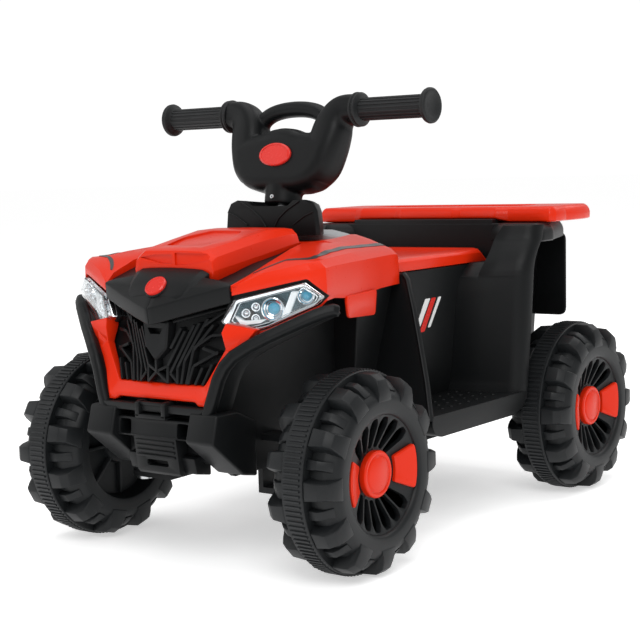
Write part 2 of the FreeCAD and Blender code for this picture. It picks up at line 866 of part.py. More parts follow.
def inset_outline(outline, inset):
    moved = []
    for n, point in enumerate(outline):
        before = V(*outline[n - 1], 0)
        here = V(*point, 0)
        after = V(*outline[(n + 1) % len(outline)], 0)
        into = (here - before).normalize()
        away = (after - here).normalize()
        share = inset / into.cross(away).z
        corner = here + (away - into) * share
        moved.append((corner.x, corner.y))
    return moved


def light_prism(inset, depth_pair):
    outline = [(face_run.Length * u_share, light_bottom + (light_top - light_bottom) * z_share)
               for u_share, z_share in light_outline_shares]
    points = []
    for u, z in inset_outline(outline, inset):
        place = face_start + face_along * u + face_out * depth_pair[0]
        points.append(V(place.x, place.y, z))
    return prism(points, face_out * (depth_pair[1] - depth_pair[0]))


light_hole = light_prism(0, (-reflector_depth - overrun, overrun))


def front_cover():
    outer = ruled(cover_sections(0))
    inner = ruled(cover_sections(shell_wall))
    hood_hole = block((-hood_half_width, hood_half_width), (nose_y - overrun, tank_front_y),
                      (frame_top, tank_height + overrun))
    shell = outer.cut([inner, hood_hole])
    tab_start = crease_y + side_tab_start
    tab_end = tab_start + side_tab_length
    tab_outline = [(cover_side_x(tab_start), tab_start), (cover_side_x(tab_end), tab_end),
                   (cover_side_x(tab_end) - shell_wall, tab_end),
                   (cover_side_x(tab_start) - shell_wall, tab_start)]
    tab = across_z(tab_outline, (cover_skirt - side_tab_drop, cover_skirt + shell_wall))
    whole = joined([shell, grille_frame()] + both_sides(tab))
    column_hole = on_column(rod(origin, z_axis, column_radius + column_clearance, head_rise))
    wells = [rocker_well(side) for side in (1, -1)]
    tub_half = tub_top_half_width + running_gap
    tub_room = block((-tub_half, tub_half), (tank_rear_y - shell_wall, cover_rear_y + overrun),
                     (cover_skirt - overrun, tub_top + running_gap))
    return whole.cut(both_sides(light_hole) + [column_hole, tub_room] + wells)


# Dash panel with two rocker switches, behind the cowl on the tank
cowl_front_y = front_axle_y + cowl_front_setback
cowl_rear_y = cowl_front_y + cowl_depth
dash_front_y = tank_rear_y - dash_length
dash_mid_y = tank_rear_y - dash_length / 2
rocker_z = tank_height + dash_thickness


def rocker_well(side):
    half = rocker_width / 2 + running_gap
    reach = rocker_radius + running_gap
    x = side * rocker_spacing
    return block((x - half, x + half), (dash_mid_y - reach, dash_mid_y + reach),
                 (rocker_z - reach, rocker_z + overrun))


def rocker(side):
    x = side * rocker_spacing - rocker_width / 2
    drum = rod(V(x, dash_mid_y, rocker_z), x_axis, rocker_radius, rocker_width)
    top = block((x - overrun, x + rocker_width + overrun), (front_y, tub_rear_y),
                (rocker_z, rocker_z + wheel_radius))
    ridge = [(dash_mid_y - rocker_radius, rocker_z), (dash_mid_y - rocker_radius, rocker_z + rocker_rise),
             (dash_mid_y, rocker_z + rocker_rise / 2), (dash_mid_y + rocker_radius, rocker_z + rocker_rise),
             (dash_mid_y + rocker_radius, rocker_z)]
    return joined([drum.cut(top), across_x(ridge, (x, x + rocker_width))])


dash = block((-dash_half_width, dash_half_width), (dash_front_y, tank_rear_y), (tank_height, rocker_z))
save("dash_panel", dash.cut([rocker_well(1), rocker_well(-1)]))
save("power_rocker", rocker(1))
save("direction_rocker", rocker(-1))
save("front_cover", front_cover())


# Grille: a plate with slanted slots behind the frame
def grille():
    half = frame_top_half_width - grille_margin
    low_half = frame_half_width - grille_margin
    hidden_half = hood_half_width - running_gap
    outline = [(low_half, frame_bottom), (half, frame_top - frame_bar), (half, frame_top - frame_depth),
               (hidden_half, frame_top), (hidden_half, grille_top)]
    plate = across_y(two_sided(outline), frame_y_pair)
    plate = plate.common(frame_slab(frame_depth, frame_depth + grille_thickness, grille_top))
    slots = []
    low = frame_bottom + frame_bar + grille_bar
    high = frame_top - grille_bar
    pitch = grille_slot + grille_bar
    for n in range(grille_slots_each_side):
        start = grille_bar + n * pitch
        slant = start * grille_slant_share
        slot_low = low + grille_bar
        outline = [(start, slot_low), (start + grille_slot, slot_low),
                   (start + grille_slot + slant, high), (start + slant, high)]
        slots += both_sides(across_y(outline, frame_y_pair))
    return plate.cut(slots)


save("grille", grille())


# Nose cover: the hood base plate and the beak in front of it
def nose_cover():
    half = hood_half_width - running_gap
    back_y = tank_front_y - running_gap
    plate_front = nose_y - running_gap
    plate = across_x([(plate_front, nose_plate_front_height), (back_y, nose_plate_rear_height),
                      (back_y, nose_plate_rear_height - nose_plate_thickness),
                      (plate_front, nose_plate_front_height - nose_plate_thickness)], (-half, half))
    tip_y = front_axle_y - beak_reach
    end_y = plate_front - beak_end_depth
    middle = [(tip_y, beak_height), (tip_y + beak_tip_back, beak_tip_height), (plate_front, beak_tip_height),
              (plate_front, nose_plate_front_height), (tip_y + beak_brow_back, beak_brow_height)]
    end = [(end_y, beak_end_high - beak_end_depth), (end_y, beak_end_low), (plate_front, beak_end_low),
           (plate_front, nose_plate_front_height), (end_y, beak_end_high)]
    sections = []
    for x, outline in ((-cover_nose_half_width, end), (0, middle), (cover_nose_half_width, end)):
        sections.append([V(x, y, z) for y, z in outline])
    beak = ruled(sections)
    return joined([plate, beak])


save("nose_cover", nose_cover())

# Nose badge on the slope between brow and hood
brow_y = front_axle_y - beak_reach + beak_brow_back
badge_run = nose_y - running_gap - brow_y
badge_rise_on_nose = nose_plate_front_height - beak_brow_height
badge_slope = math.degrees(math.atan2(badge_rise_on_nose, badge_run))
nose_badge = oval(badge_half_length, badge_half_width, badge_thickness)
nose_badge.rotate(origin, x_axis, badge_slope)
nose_badge.translate(V(0, brow_y + badge_run / 2, beak_brow_height + badge_rise_on_nose / 2))
save("nose_badge", nose_badge)


# Hood scoop: a raised shell on the hood base plate
def plate_z(y):
    share = (y - nose_y) / (tank_front_y - nose_y)
    return nose_plate_front_height + (nose_plate_rear_height - nose_plate_front_height) * share


def scoop_section(y, half, rise, inset):
    base = plate_z(y) + running_gap
    outline = []
    for x_share, z_share in scoop_section_shares:
        z = base - (overrun if inset else 0) if z_share == 0 else base + rise * z_share - inset
        outline.append(((half - inset) * x_share, z))
    return [V(x, y, z) for x, z in two_sided(outline)]


def hood_scoop():
    front = front_axle_y - scoop_front_ahead
    rear = front_axle_y + scoop_rear_setback
    outer = ruled([scoop_section(front, scoop_half_width, scoop_front_rise, 0),
                   scoop_section(rear, scoop_rear_half_width, scoop_rear_rise, 0)])
    inner = ruled([scoop_section(front + shell_wall, scoop_half_width, scoop_front_rise, shell_wall),
                   scoop_section(rear - shell_wall, scoop_rear_half_width, scoop_rear_rise, shell_wall)])
    return outer.cut(inner)


save("hood_scoop", hood_scoop())


# Headlights: clear lens in the slanted face, reflector box behind it
def bowl_place(u_share, z_share, depth):
    place = face_start + face_along * (face_run.Length * u_share) + face_out * depth
    return V(place.x, place.y, light_bottom + (light_top - light_bottom) * z_share)


lens = light_prism(running_gap, (lens_proud - lens_thickness, lens_proud))
reflector_front = lens_proud - lens_thickness
reflector = light_prism(running_gap, (-reflector_depth, reflector_front))
bowls = []
bulbs = []
bowl_depth = (reflector_front + reflector_depth) / 2
for u_share, z_share in reflector_bowl_shares:
    start = bowl_place(u_share, z_share, reflector_front - bowl_depth)
    bowls.append(rod(start, face_out, reflector_bowl_radius, bowl_depth + overrun))
    bulbs.append(rod(start, face_out, bulb_radius, bulb_length))
reflector = reflector.cut(bowls)
save("headlight_lenses", *both_sides(lens))
save("headlight_reflectors", *both_sides(reflector))
save("headlight_bulbs", *[copy for bulb in bulbs for copy in both_sides(bulb)])


# Front bumper on the end of the chassis
def front_bumper():
    back = chassis_front_y
    block_low = bumper_block_bottom
    lean_y = front_y + bumper_block_lean
    nose_low = chassis_bottom + chassis_nose_lift
    corner = across_x([(lean_y, bumper_block_top), (back, bumper_block_top), (back, nose_low),
                       (front_y, block_low)], (bumper_block_inner, bumper_block_outer))
    tail = across_x([(back - overrun, bumper_block_top), (back + block_tail, block_low),
                     (back + chassis_nose_run, chassis_bottom), (back, nose_low),
                     (back - overrun, block_low)], (chassis_half_width + running_gap, bumper_block_outer))
    bar_y = front_y + bumper_bar_back
    bar = across_x([(bar_y, bumper_bar_top), (back, bumper_bar_top), (back, block_low), (bar_y, block_low)],
                   (-bumper_block_inner, bumper_block_inner))
    holes = [block((x - bumper_hole_half, x + bumper_hole_half), (front_y - overrun, back + overrun),
                   (bumper_hole_height - bumper_hole_half, bumper_hole_height + bumper_hole_half))
             for x in (bumper_hole_x, -bumper_hole_x)]
    skid = across_x([(bar_y, block_low), (back, block_low), (back, skid_bottom),
                     (bar_y + skid_lean, skid_bottom)], (-skid_half_width, skid_half_width))
    slope = across_x([(bar_y, block_low), (back, block_low), (back, nose_low)],
                     (-bumper_block_inner, bumper_block_inner))
    slot = block((-skid_slot_half_width, skid_slot_half_width), (front_y - overrun, back + overrun),
                 (skid_slot_z - skid_slot_height / 2, skid_slot_z + skid_slot_height / 2))
    whole = joined([bar, skid, slope] + both_sides(corner) + both_sides(tail))
    return whole.cut(holes + [slot])


save("front_bumper", front_bumper())

# Winch on the bumper bar, between the blocks
winch_y = front_y + bumper_bar_back - overrun
winch_pair = (bumper_bar_top, bumper_bar_top + winch_height)
cheek = block((winch_half_width - winch_side, winch_half_width), (winch_y, winch_y + winch_depth), winch_pair)
winch_base = block((-winch_half_width, winch_half_width), (winch_y, winch_y + winch_depth),
                   (bumper_bar_top, bumper_bar_top + winch_side))
drum_z = bumper_bar_top + winch_side + winch_drum_gap + winch_drum_radius
drum_end = winch_half_width - winch_side / 2
drum = rod(V(-drum_end, winch_y + winch_depth / 2, drum_z), x_axis, winch_drum_radius, 2 * drum_end)
save("winch", joined([winch_base, drum] + both_sides(cheek)))


# Fender guards: bent strips that rise from the bumper blocks along the edge of the cover
def guard_section(place, out_x, out_z):
    out = V(out_x, 0, out_z).normalize() * guard_thickness
    back = V(0, guard_depth, 0)
    return [place, place + out, place + out + back, place + back]


guard_foot = V(guard_foot_x, front_y + guard_foot_back, bumper_block_top)
guard_bend = V(guard_bend_x, front_axle_y - guard_bend_ahead, guard_bend_height)
guard_end = V(guard_end_x, front_axle_y - guard_end_ahead, guard_end_height)
leg_run = guard_bend - guard_foot
top_run = guard_end - guard_bend
guard = ruled([guard_section(guard_foot, leg_run.z, 0),
               guard_section(guard_bend, leg_run.z + top_run.z, -leg_run.x - top_run.x),
               guard_section(guard_end, top_run.z, -top_run.x)])
save("fender_guards", *both_sides(guard))


# Steering cowl on the tank, with a notch for the neck
def steering_cowl():
    top = tank_height + cowl_height
    notch_z = top - cowl_notch_depth
    y_pair = (cowl_front_y, cowl_rear_y)
    outline = [(cowl_half_width, tank_height), (cowl_top_half_width, top),
               (cowl_notch_half_width + cowl_wall, top), (cowl_notch_half_width, notch_z)]
    outer = across_y(two_sided(outline), y_pair)
    inner_outline = [(cowl_half_width - cowl_wall, tank_height - overrun),
                     (cowl_top_half_width - cowl_wall, top - cowl_wall),
                     (cowl_notch_half_width + 2 * cowl_wall, top - cowl_wall),
                     (cowl_notch_half_width + cowl_wall, notch_z - cowl_wall)]
    inner = across_y(two_sided(inner_outline), (cowl_front_y + cowl_wall, cowl_rear_y - cowl_wall))
    hole = on_column(rod(origin, z_axis, bush_radius, head_rise))
    return outer.cut([inner, hole])


notch_rise = (tank_height + cowl_height - cowl_notch_depth - tie_rod_mid) / math.cos(rake)
bush_base = V(0, 0, notch_rise - bush_length)
bush_wall = rod(bush_base, z_axis, bush_radius, bush_length)
bush_bore = rod(bush_base, z_axis, column_radius + running_fit, bush_length)
save("steering_cowl", steering_cowl())
save("column_bush", on_column(bush_wall.cut(bush_bore)))


# Handlebar in two half shells, built upright on the head and then raked
def at_head(shape):
    raised = shape.copy()
    raised.translate(V(0, 0, head_rise))
    return on_column(raised)


def bar_outline():
    points = [(bar_half_width * x_share, bar_top * z_share) for x_share, z_share in bar_outline_shares]
    return two_sided(points)


def loop_arch():
    outer_points = [V(-loop_half_width, 0, loop_foot), V(0, 0, loop_top), V(loop_half_width, 0, loop_foot)]
    inner_half = loop_half_width - loop_thickness / 2
    inner_top = loop_top - loop_thickness
    inner_foot = loop_foot - loop_thickness / 2
    inner_points = [V(inner_half, 0, inner_foot), V(0, 0, inner_top), V(-inner_half, 0, inner_foot)]
    edges = [Part.Arc(*outer_points).toShape(), Part.LineSegment(outer_points[2], inner_points[0]).toShape(),
             Part.Arc(*inner_points).toShape(), Part.LineSegment(inner_points[2], outer_points[0]).toShape()]
    arch = Part.Face(Part.Wire(edges)).extrude(V(0, 2 * loop_half_depth, 0))
    arch.translate(V(0, -loop_half_depth, 0))
    return arch


def handlebar():
    body = across_y(bar_outline(), (-bar_half_depth, bar_half_depth))
    neck = block((-neck_half_width, neck_half_width), (-neck_half_depth, neck_half_depth),
                 (-neck_drop, bar_wall))
    whole = joined([body, neck, loop_arch()])
    hollow_depth = bar_half_depth - bar_wall
    cavity = block((-bar_cavity_half_width, bar_cavity_half_width), (-hollow_depth, hollow_depth),
                   (bar_cavity_bottom, bar_cavity_top))
    column_hole = rod(V(0, 0, -neck_drop), z_axis, column_radius, neck_drop + bar_cavity_bottom)
    tube_radius = grip_radius - grip_wall
    tubes = [rod(V(side * bar_half_width, 0, bar_rise), V(-side, 0, 0), tube_radius, grip_tube_inset)
             for side in (1, -1)]
    buttons = [rod(V(x, 0, button_rise), y_axis, button_radius + running_gap, bar_half_depth)
               for x in (button_spacing, -button_spacing)]
    return whole.cut([cavity, column_hole] + tubes + buttons)


bar = handlebar()
half_reach = overall_length
front_half = block((-half_reach, half_reach), (-half_reach, 0), (-half_reach, half_reach))
rear_half = block((-half_reach, half_reach), (0, half_reach), (-half_reach, half_reach))
save("handlebar_front", at_head(bar.common(front_half)))
save("handlebar_rear", at_head(bar.common(rear_half)))


def grip(side):
    start = side * bar_half_width
    along = V(side, 0, 0)
    base = V(start, 0, bar_rise)
    far_flange = V(start + side * (grip_length - grip_flange_width), 0, bar_rise)
    sleeve = rod(base, along, grip_radius, grip_length)
    flanges = [rod(place, along, grip_flange_radius, grip_flange_width) for place in (base, far_flange)]
    return joined([sleeve] + flanges).cut(rod(base, along, grip_radius - grip_wall, grip_length - grip_wall))


def grip_tube(side):
    base = V(side * (bar_half_width - grip_tube_inset), 0, bar_rise)
    return rod(base, V(side, 0, 0), grip_radius - grip_wall, grip_tube_inset + grip_length - grip_wall)


save("grips", at_head(grip(1)), at_head(grip(-1)))
save("grip_tubes", at_head(grip_tube(1)), at_head(grip_tube(-1)))
bar_badge = oval(bar_badge_half_length, bar_badge_half_width, badge_thickness)
bar_badge.rotate(origin, x_axis, 90)
bar_badge.translate(V(0, -bar_half_depth, badge_rise))
save("handlebar_badge", at_head(bar_badge))


def push_button(x):
    start = bar_half_depth - button_depth
    stem = rod(V(x, start, button_rise), y_axis, button_radius, button_depth + button_proud)
    collar_y = bar_half_depth - bar_wall - running_gap - button_collar
    collar_radius = button_radius + button_collar
    collar = rod(V(x, collar_y, button_rise), y_axis, collar_radius, button_collar)
    return joined([stem, collar])


save("horn_button", at_head(push_button(button_spacing)))
save("music_button", at_head(push_button(-button_spacing)))


# Body tub: seat box, footboards, leg shields, rear fenders and back rest
def tub_half_width(z):
    share = (z - tub_bottom) / (tub_top - tub_bottom)
    return tub_bottom_half_width + (tub_top_half_width - tub_bottom_half_width) * share


def pillar_line(shares, offset, height):
    return [(rear_axle_y - wheel_radius * y_share + offset, floor_top + (height - floor_top) * z_share)
            for y_share, z_share in shares]


def pillar(x, shares):
    front = pillar_line(shares, 0, deck_top)
    back = pillar_line(shares, pillar_wall, deck_top - pillar_wall)
    foot = [(front[0][0], floor_top - floor_skirt), (front[0][0] + pillar_wall, floor_top - floor_skirt)]
    outline = foot[:1] + front + list(reversed(back)) + foot[1:]
    return [V(x, y, z) for y, z in outline]


pillar_foot_y = rear_axle_y - wheel_radius * pillar_outer_shares[0][0]
pillar_inner_foot_y = rear_axle_y - wheel_radius * pillar_inner_shares[0][0]
deck_front_y = rear_axle_y - wheel_radius * pillar_outer_shares[-1][0]


def footboard():
    outer = [(tub_bottom_half_width, floor_front_y), (floor_half_width, floor_front_y),
             (floor_half_width, pillar_foot_y), (tub_bottom_half_width, pillar_inner_foot_y + pillar_wall)]
    inner = [(tub_bottom_half_width - overrun, floor_front_y + shell_wall),
             (floor_half_width - shell_wall, floor_front_y + shell_wall),
             (floor_half_width - shell_wall, pillar_foot_y - shell_wall),
             (tub_bottom_half_width - overrun, pillar_inner_foot_y - shell_wall)]
    floor_low = floor_top - floor_skirt
    slab = across_z(outer, (floor_low, floor_top))
    return slab.cut(across_z(inner, (floor_low - overrun, floor_top - shell_wall)))


def leg_shield():
    low = floor_top - floor_skirt
    front = [(floor_front_y, low), (floor_front_y, floor_top), (floor_front_y + shield_lean, shield_top)]
    slab = front + [(y + shield_thickness, z) for y, z in reversed(front)]
    panel = [(tub_bottom_half_width, low), (floor_half_width, low), (floor_half_width, floor_top),
             (shield_top_half_width, shield_top), (tub_bottom_half_width, shield_top)]
    y_pair = (floor_front_y - overrun, floor_front_y + shield_lean + overrun + shield_thickness)
    return across_x(slab, (0, floor_half_width)).common(across_y(panel, y_pair))


def body_tub():
    profile = [(tub_bottom_half_width, tub_bottom), (tub_top_half_width, tub_top)]
    box = across_y(two_sided(profile), (tub_front_y, tub_rear_y))
    rest_half = tub_top_half_width
    back_rest = block((-rest_half, rest_half), (back_rest_y, tub_rear_y), (tub_top - overrun, deck_top))
    deck_low = deck_top - deck_depth
    deck_outline = [(floor_half_width, deck_front_y), (deck_rear_half_width, tub_rear_y)]
    deck = across_z(two_sided(deck_outline), (deck_low, deck_top))
    deck_inner = [(floor_half_width - pillar_wall, deck_front_y + pillar_wall),
                  (deck_rear_half_width - shell_wall, tub_rear_y - shell_wall)]
    deck = deck.cut(across_z(two_sided(deck_inner), (deck_low - overrun, deck_top - shell_wall)))
    rear_wall = block((-rear_wall_half_width, rear_wall_half_width), (tub_rear_y - shell_wall, tub_rear_y),
                      (rear_wall_bottom, deck_low + shell_wall))
    wall_x = tub_half_width(floor_top)
    pillar_ends = [pillar(tub_bottom_half_width, pillar_inner_shares),
                   pillar(floor_half_width, pillar_outer_shares)]
    side = [ruled(pillar_ends), footboard(), leg_shield()]
    sides = [copy for shape in side for copy in both_sides(shape)]
    boss_base = V(tub_bottom_half_width - shell_wall, rear_axle_y, axle_z)
    boss_end = wheel_x - half_wheel - running_gap
    boss = rod(boss_base, x_axis, axle_boss_radius, boss_end - boss_base.x)
    post_y = front_axle_y + cover_post_setback
    post_top = tank_height - shell_wall - running_gap
    post_low = tub_top - shell_wall
    post = rod(V(cover_post_x, post_y, post_low), z_axis, cover_post_radius, post_top - post_low)
    pad = block((-case_inner_x, -wall_x + shell_wall), pad_y_pair, pad_z_pair)
    whole = joined([box, back_rest, deck, rear_wall, boss, pad] + sides + both_sides(post))
    inner_profile = [(tub_bottom_half_width - shell_wall, tub_bottom - overrun),
                     (tub_top_half_width - shell_wall, tub_top - shell_wall)]
    hollow = across_y(two_sided(inner_profile), (tub_front_y + shell_wall, tub_rear_y - shell_wall))
    rest_hollow = block((-rest_half + shell_wall, rest_half - shell_wall),
                        (back_rest_y + shell_wall, tub_rear_y - shell_wall),
                        (tub_top - 2 * shell_wall, deck_top - shell_wall))
    seat_hole = block((-seat_hole_half_width, seat_hole_half_width),
                      (cover_rear_y + seat_hole_margin, back_rest_y - seat_hole_margin),
                      (tub_top - overrun, tub_top + overrun))
    hollow_shell = whole.cut([hollow, rest_hollow, seat_hole])
    bosses = []
    for place in screw_places():
        bosses.append(rod(V(place[0], place[1], tub_bottom), z_axis, screw_boss_radius, screw_boss_height))
        lug_pair = sorted((place[0], math.copysign(tub_bottom_half_width, place[0])))
        bosses.append(block(lug_pair, (place[1] - screw_boss_radius, place[1] + screw_boss_radius),
                            (tub_bottom, tub_bottom + screw_boss_height)))
    whole = joined([hollow_shell] + bosses)
    cutters = [rod(V(-track, rear_axle_y, axle_z), x_axis, bore_radius, 2 * track),
               rod(V(-track, motor_place.y, motor_place.z), x_axis, motor_radius + motor_hole_gap, track),
               rod(V(socket_x, 0, socket_height), y_axis, socket_radius, overall_length)]
    for place in screw_places():
        cutters.append(rod(V(place[0], place[1], 0), z_axis, screw_radius, tub_bottom + screw_length))
    return whole.cut(cutters)


tray_front_y = tub_front_y
tray_rear_y = rear_axle_y - tray_rear_setback


def screw_places():
    run = tray_rear_y - tray_front_y
    rows = [tray_front_y + run * share for share in screw_row_shares]
    return [(side * screw_boss_x, y) for y in rows for side in (1, -1)]


# Gear train on the right: drive gear on the axle, reduction gear, motor pinion
def involute_gear(teeth, x_pair):
    pitch_r = gear_module * teeth / 2
    base_r = pitch_r * math.cos(math.radians(pressure_degrees))
    tip_r = pitch_r + gear_module * addendum_share
    root_r = pitch_r - gear_module * dedendum_share

    def half_angle(r):
        roll = math.sqrt(max((r / base_r) ** 2 - 1, 0))
        pitch_roll = math.sqrt((pitch_r / base_r) ** 2 - 1)
        at_pitch = math.pi / (2 * teeth) - backlash / (2 * pitch_r)
        return at_pitch + (pitch_roll - math.atan(pitch_roll)) - (roll - math.atan(roll))

    start_r = max(base_r, root_r)
    flank = [start_r + (tip_r - start_r) * n / flank_steps for n in range(flank_steps + 1)]
    if root_r < start_r:
        flank.insert(0, root_r)
    points = []
    for tooth in range(teeth):
        middle = 2 * math.pi * tooth / teeth
        for r in flank:
            angle = middle - half_angle(r)
            points.append((r * math.cos(angle), r * math.sin(angle)))
        for r in reversed(flank):
            angle = middle + half_angle(r)
            points.append((r * math.cos(angle), r * math.sin(angle)))
    return across_x(points, x_pair)


def placed_gear(teeth, x_pair, place, tooth_degrees):
    gear = involute_gear(teeth, x_pair)
    gear.rotate(origin, x_axis, tooth_degrees)
    gear.translate(place)
    return gear


def polar(place, degrees, distance):
    angle = math.radians(degrees)
    return place + V(0, distance * math.cos(angle), distance * math.sin(angle))


gear_distance = gear_module * (pinion_teeth + wheel_teeth) / 2
axle_place = V(0, rear_axle_y, axle_z)
mid_place = polar(axle_place, mid_direction_degrees, gear_distance)
motor_place = polar(mid_place, motor_direction_degrees, gear_distance)
case_outer_x = wheel_x - half_wheel - overrun
drive_x = -case_outer_x + case_wall + running_gap
drive_x_pair = (drive_x, drive_x + drive_gear_width)
mid_x_pair = (drive_x_pair[1] + gear_layer_gap, drive_x_pair[1] + gear_layer_gap + mid_gear_width)
case_inner_x = -(mid_x_pair[1] + gear_layer_gap + case_wall)
half_tooth = 180.0 / pinion_teeth
wheel_face = -(wheel_x - half_wheel)
drive_gear = placed_gear(wheel_teeth, drive_x_pair, axle_place, mid_direction_degrees)
drive_hub = rod(V(wheel_face, rear_axle_y, axle_z), x_axis, gear_hub_radius, drive_x_pair[1] - wheel_face)
drive_bore = rod(V(-track, rear_axle_y, axle_z), x_axis, bore_radius, track)
save("drive_gear", joined([drive_gear, drive_hub]).cut(drive_bore))
mid_pinion = placed_gear(pinion_teeth, (drive_x_pair[0], mid_x_pair[0]), mid_place,
                         mid_direction_degrees + 180 + half_tooth)
mid_wheel = placed_gear(wheel_teeth, mid_x_pair, mid_place, motor_direction_degrees)
mid_bore = rod(V(-track, mid_place.y, mid_place.z), x_axis, gear_shaft_radius + running_fit, track)
save("reduction_gear", joined([mid_pinion, mid_wheel]).cut(mid_bore))
motor_pinion = placed_gear(pinion_teeth, mid_x_pair, motor_place, motor_direction_degrees + 180 + half_tooth)
motor_shaft = rod(V(mid_x_pair[0], motor_place.y, motor_place.z), x_axis, motor_shaft_radius,
                  -case_inner_x - running_gap - mid_x_pair[0])
save("motor_pinion", joined([motor_pinion, motor_shaft]))

# Gearbox case: two halves that close round the gears
case_gap = gear_module + case_clearance
case_radii = [(axle_place, gear_module * wheel_teeth / 2 + case_gap),
              (mid_place, gear_module * wheel_teeth / 2 + case_gap),
              (motor_place, motor_radius + case_wall)]
case_x_pair = (-case_outer_x, -case_inner_x)


def case_blank(x_pair, grow):
    discs = []
    for place, radius in case_radii:
        discs.append(rod(V(x_pair[0], place.y, place.z), x_axis, radius + grow, x_pair[1] - x_pair[0]))
    for (start, start_r), (end, end_r) in zip(case_radii, case_radii[1:]):
        along = end - start
        side = V(0, -along.z, along.y).normalize()
        corners = [start + side * (start_r + grow), end + side * (end_r + grow),
                   end - side * (end_r + grow), start - side * (start_r + grow)]
        discs.append(across_x([(point.y, point.z) for point in corners], x_pair))
    return joined(discs)


case_split = drive_x_pair[1] + gear_layer_gap / 2
case_inside = (case_x_pair[0] + case_wall, case_x_pair[1] - case_wall)
case_solid = case_blank(case_x_pair, case_wall).cut(case_blank(case_inside, 0))
hub_hole_run = track + case_inside[0] + overrun
hub_hole = rod(V(-track, rear_axle_y, axle_z), x_axis, gear_hub_radius + running_gap, hub_hole_run)
inner_axle_hole = rod(V(-track, rear_axle_y, axle_z), x_axis, bore_radius, track)
mid_shaft_run = case_inside[1] - case_inside[0]
mid_shaft = rod(V(case_inside[0], mid_place.y, mid_place.z), x_axis, gear_shaft_radius, mid_shaft_run)
pinion_hole = rod(V(case_inside[0], motor_place.y, motor_place.z), x_axis, gear_module * pinion_teeth, track)
case_solid = case_solid.cut([hub_hole, inner_axle_hole, pinion_hole])
far = overall_length
outer_side = block((-far, case_split), (-far, far), (-far, far))
inner_side = block((case_split, far), (-far, far), (-far, far))
save("gearbox_case_outer", case_solid.common(outer_side))
save("gearbox_case_inner", joined([case_solid.common(inner_side), mid_shaft]))
pad_y_pair = (motor_place.y - motor_radius, rear_axle_y + axle_boss_radius)
pad_z_pair = (axle_z - axle_boss_radius, motor_place.z + motor_radius)
motor_can = rod(V(-case_inner_x, motor_place.y, motor_place.z), x_axis, motor_radius, motor_length)
save("drive_motor", motor_can)
save("body_tub", body_tub())

# Under tray, its screws, battery and strap
tray_half = tub_bottom_half_width
tray = block((-tray_half, tray_half), (tray_front_y, tray_rear_y), (tub_bottom - tray_thickness, tub_bottom))
tray_holes = [rod(V(x, y, 0), z_axis, screw_radius, tub_top) for x, y in screw_places()]
save("under_tray", tray.cut(tray_holes))
tray_screws = []
for x, y in screw_places():
    head_base = V(x, y, tub_bottom - tray_thickness - screw_head_height)
    head = rod(head_base, z_axis, screw_head_radius, screw_head_height)
    shank = rod(head_base, z_axis, screw_radius, screw_head_height + screw_length)
    tray_screws.append(joined([head, shank]))
save("tray_screws", *tray_screws)
battery_y = front_axle_y + battery_setback
battery_half = battery_width / 2
battery_z_pair = (tub_bottom, tub_bottom + battery_height)
battery_case = block((-battery_half, battery_half), (battery_y, battery_y + battery_length), battery_z_pair)
terminals = [rod(V(side * battery_half / 2, battery_y + terminal_radius * 2, battery_z_pair[1]), z_axis,
                 terminal_radius, terminal_height) for side in (1, -1)]
save("battery", joined([battery_case] + terminals))
strap_y = battery_y + battery_length / 2
strap_y_pair = (strap_y - strap_width / 2, strap_y + strap_width / 2)
strap_gap = running_gap + strap_thickness
strap_outer = block((-battery_half - strap_gap, battery_half + strap_gap), strap_y_pair,
                    (tub_bottom, battery_z_pair[1] + strap_gap))
strap_inner = block((-battery_half - running_gap, battery_half + running_gap),
                    (strap_y_pair[0] - overrun, strap_y_pair[1] + overrun),
                    (tub_bottom - overrun, battery_z_pair[1] + running_gap))
save("battery_strap", strap_outer.cut(strap_inner))


# Seat: a crowned slab that lifts off the tub
def seat_ring(inset, z):
    half = seat_half_width - inset
    front = cover_rear_y + seat_front_gap + inset
    rear = back_rest_y - seat_rear_gap - inset
    outline = [(half, front), (half, rear - seat_corner), (half - seat_corner, rear)]
    return [V(x, y, z) for x, y in two_sided(outline)]


seat_rim = tub_top + seat_thickness * seat_edge_share
seat = ruled([seat_ring(0, tub_top), seat_ring(0, seat_rim),
              seat_ring(seat_crown_inset, tub_top + seat_thickness)])
seat_hollow = ruled([seat_ring(seat_crown_inset, tub_top - overrun),
                     seat_ring(seat_crown_inset, tub_top + seat_thickness - shell_wall)])
save("seat", seat.cut(seat_hollow))


# Rear trim: a bevelled cap over the fenders and the back rest
def trim_ring(inset, z):
    front = rear_axle_y - trim_front_setback + inset
    rear = rear_axle_y + trim_rear_reach - inset
    outline = [(trim_half_width - inset, front), (trim_rear_half_width - inset, rear)]
    return [V(x, y, z) for x, y in two_sided(outline)]


trim_top = deck_top + trim_thickness
trim = ruled([trim_ring(trim_bevel, deck_top), trim_ring(0, deck_top + trim_bevel),
              trim_ring(0, trim_top - trim_bevel / 2), trim_ring(trim_bevel / 2, trim_top)])
recess_front = rear_axle_y - trim_front_setback + trim_recess_margin
recess_half = trim_rear_half_width - trim_recess_margin
recess_rear = rear_axle_y + trim_rear_reach - trim_recess_margin
recess = block((-recess_half, recess_half), (recess_front, recess_rear),
               (trim_top - trim_recess_depth, trim_top + overrun))
trim_wall = trim_bevel + shell_wall
trim_hollow = ruled([trim_ring(trim_wall, deck_top - overrun),
                     trim_ring(trim_wall, trim_top - trim_recess_depth - shell_wall)])
save("rear_trim", trim.cut([recess, trim_hollow]))

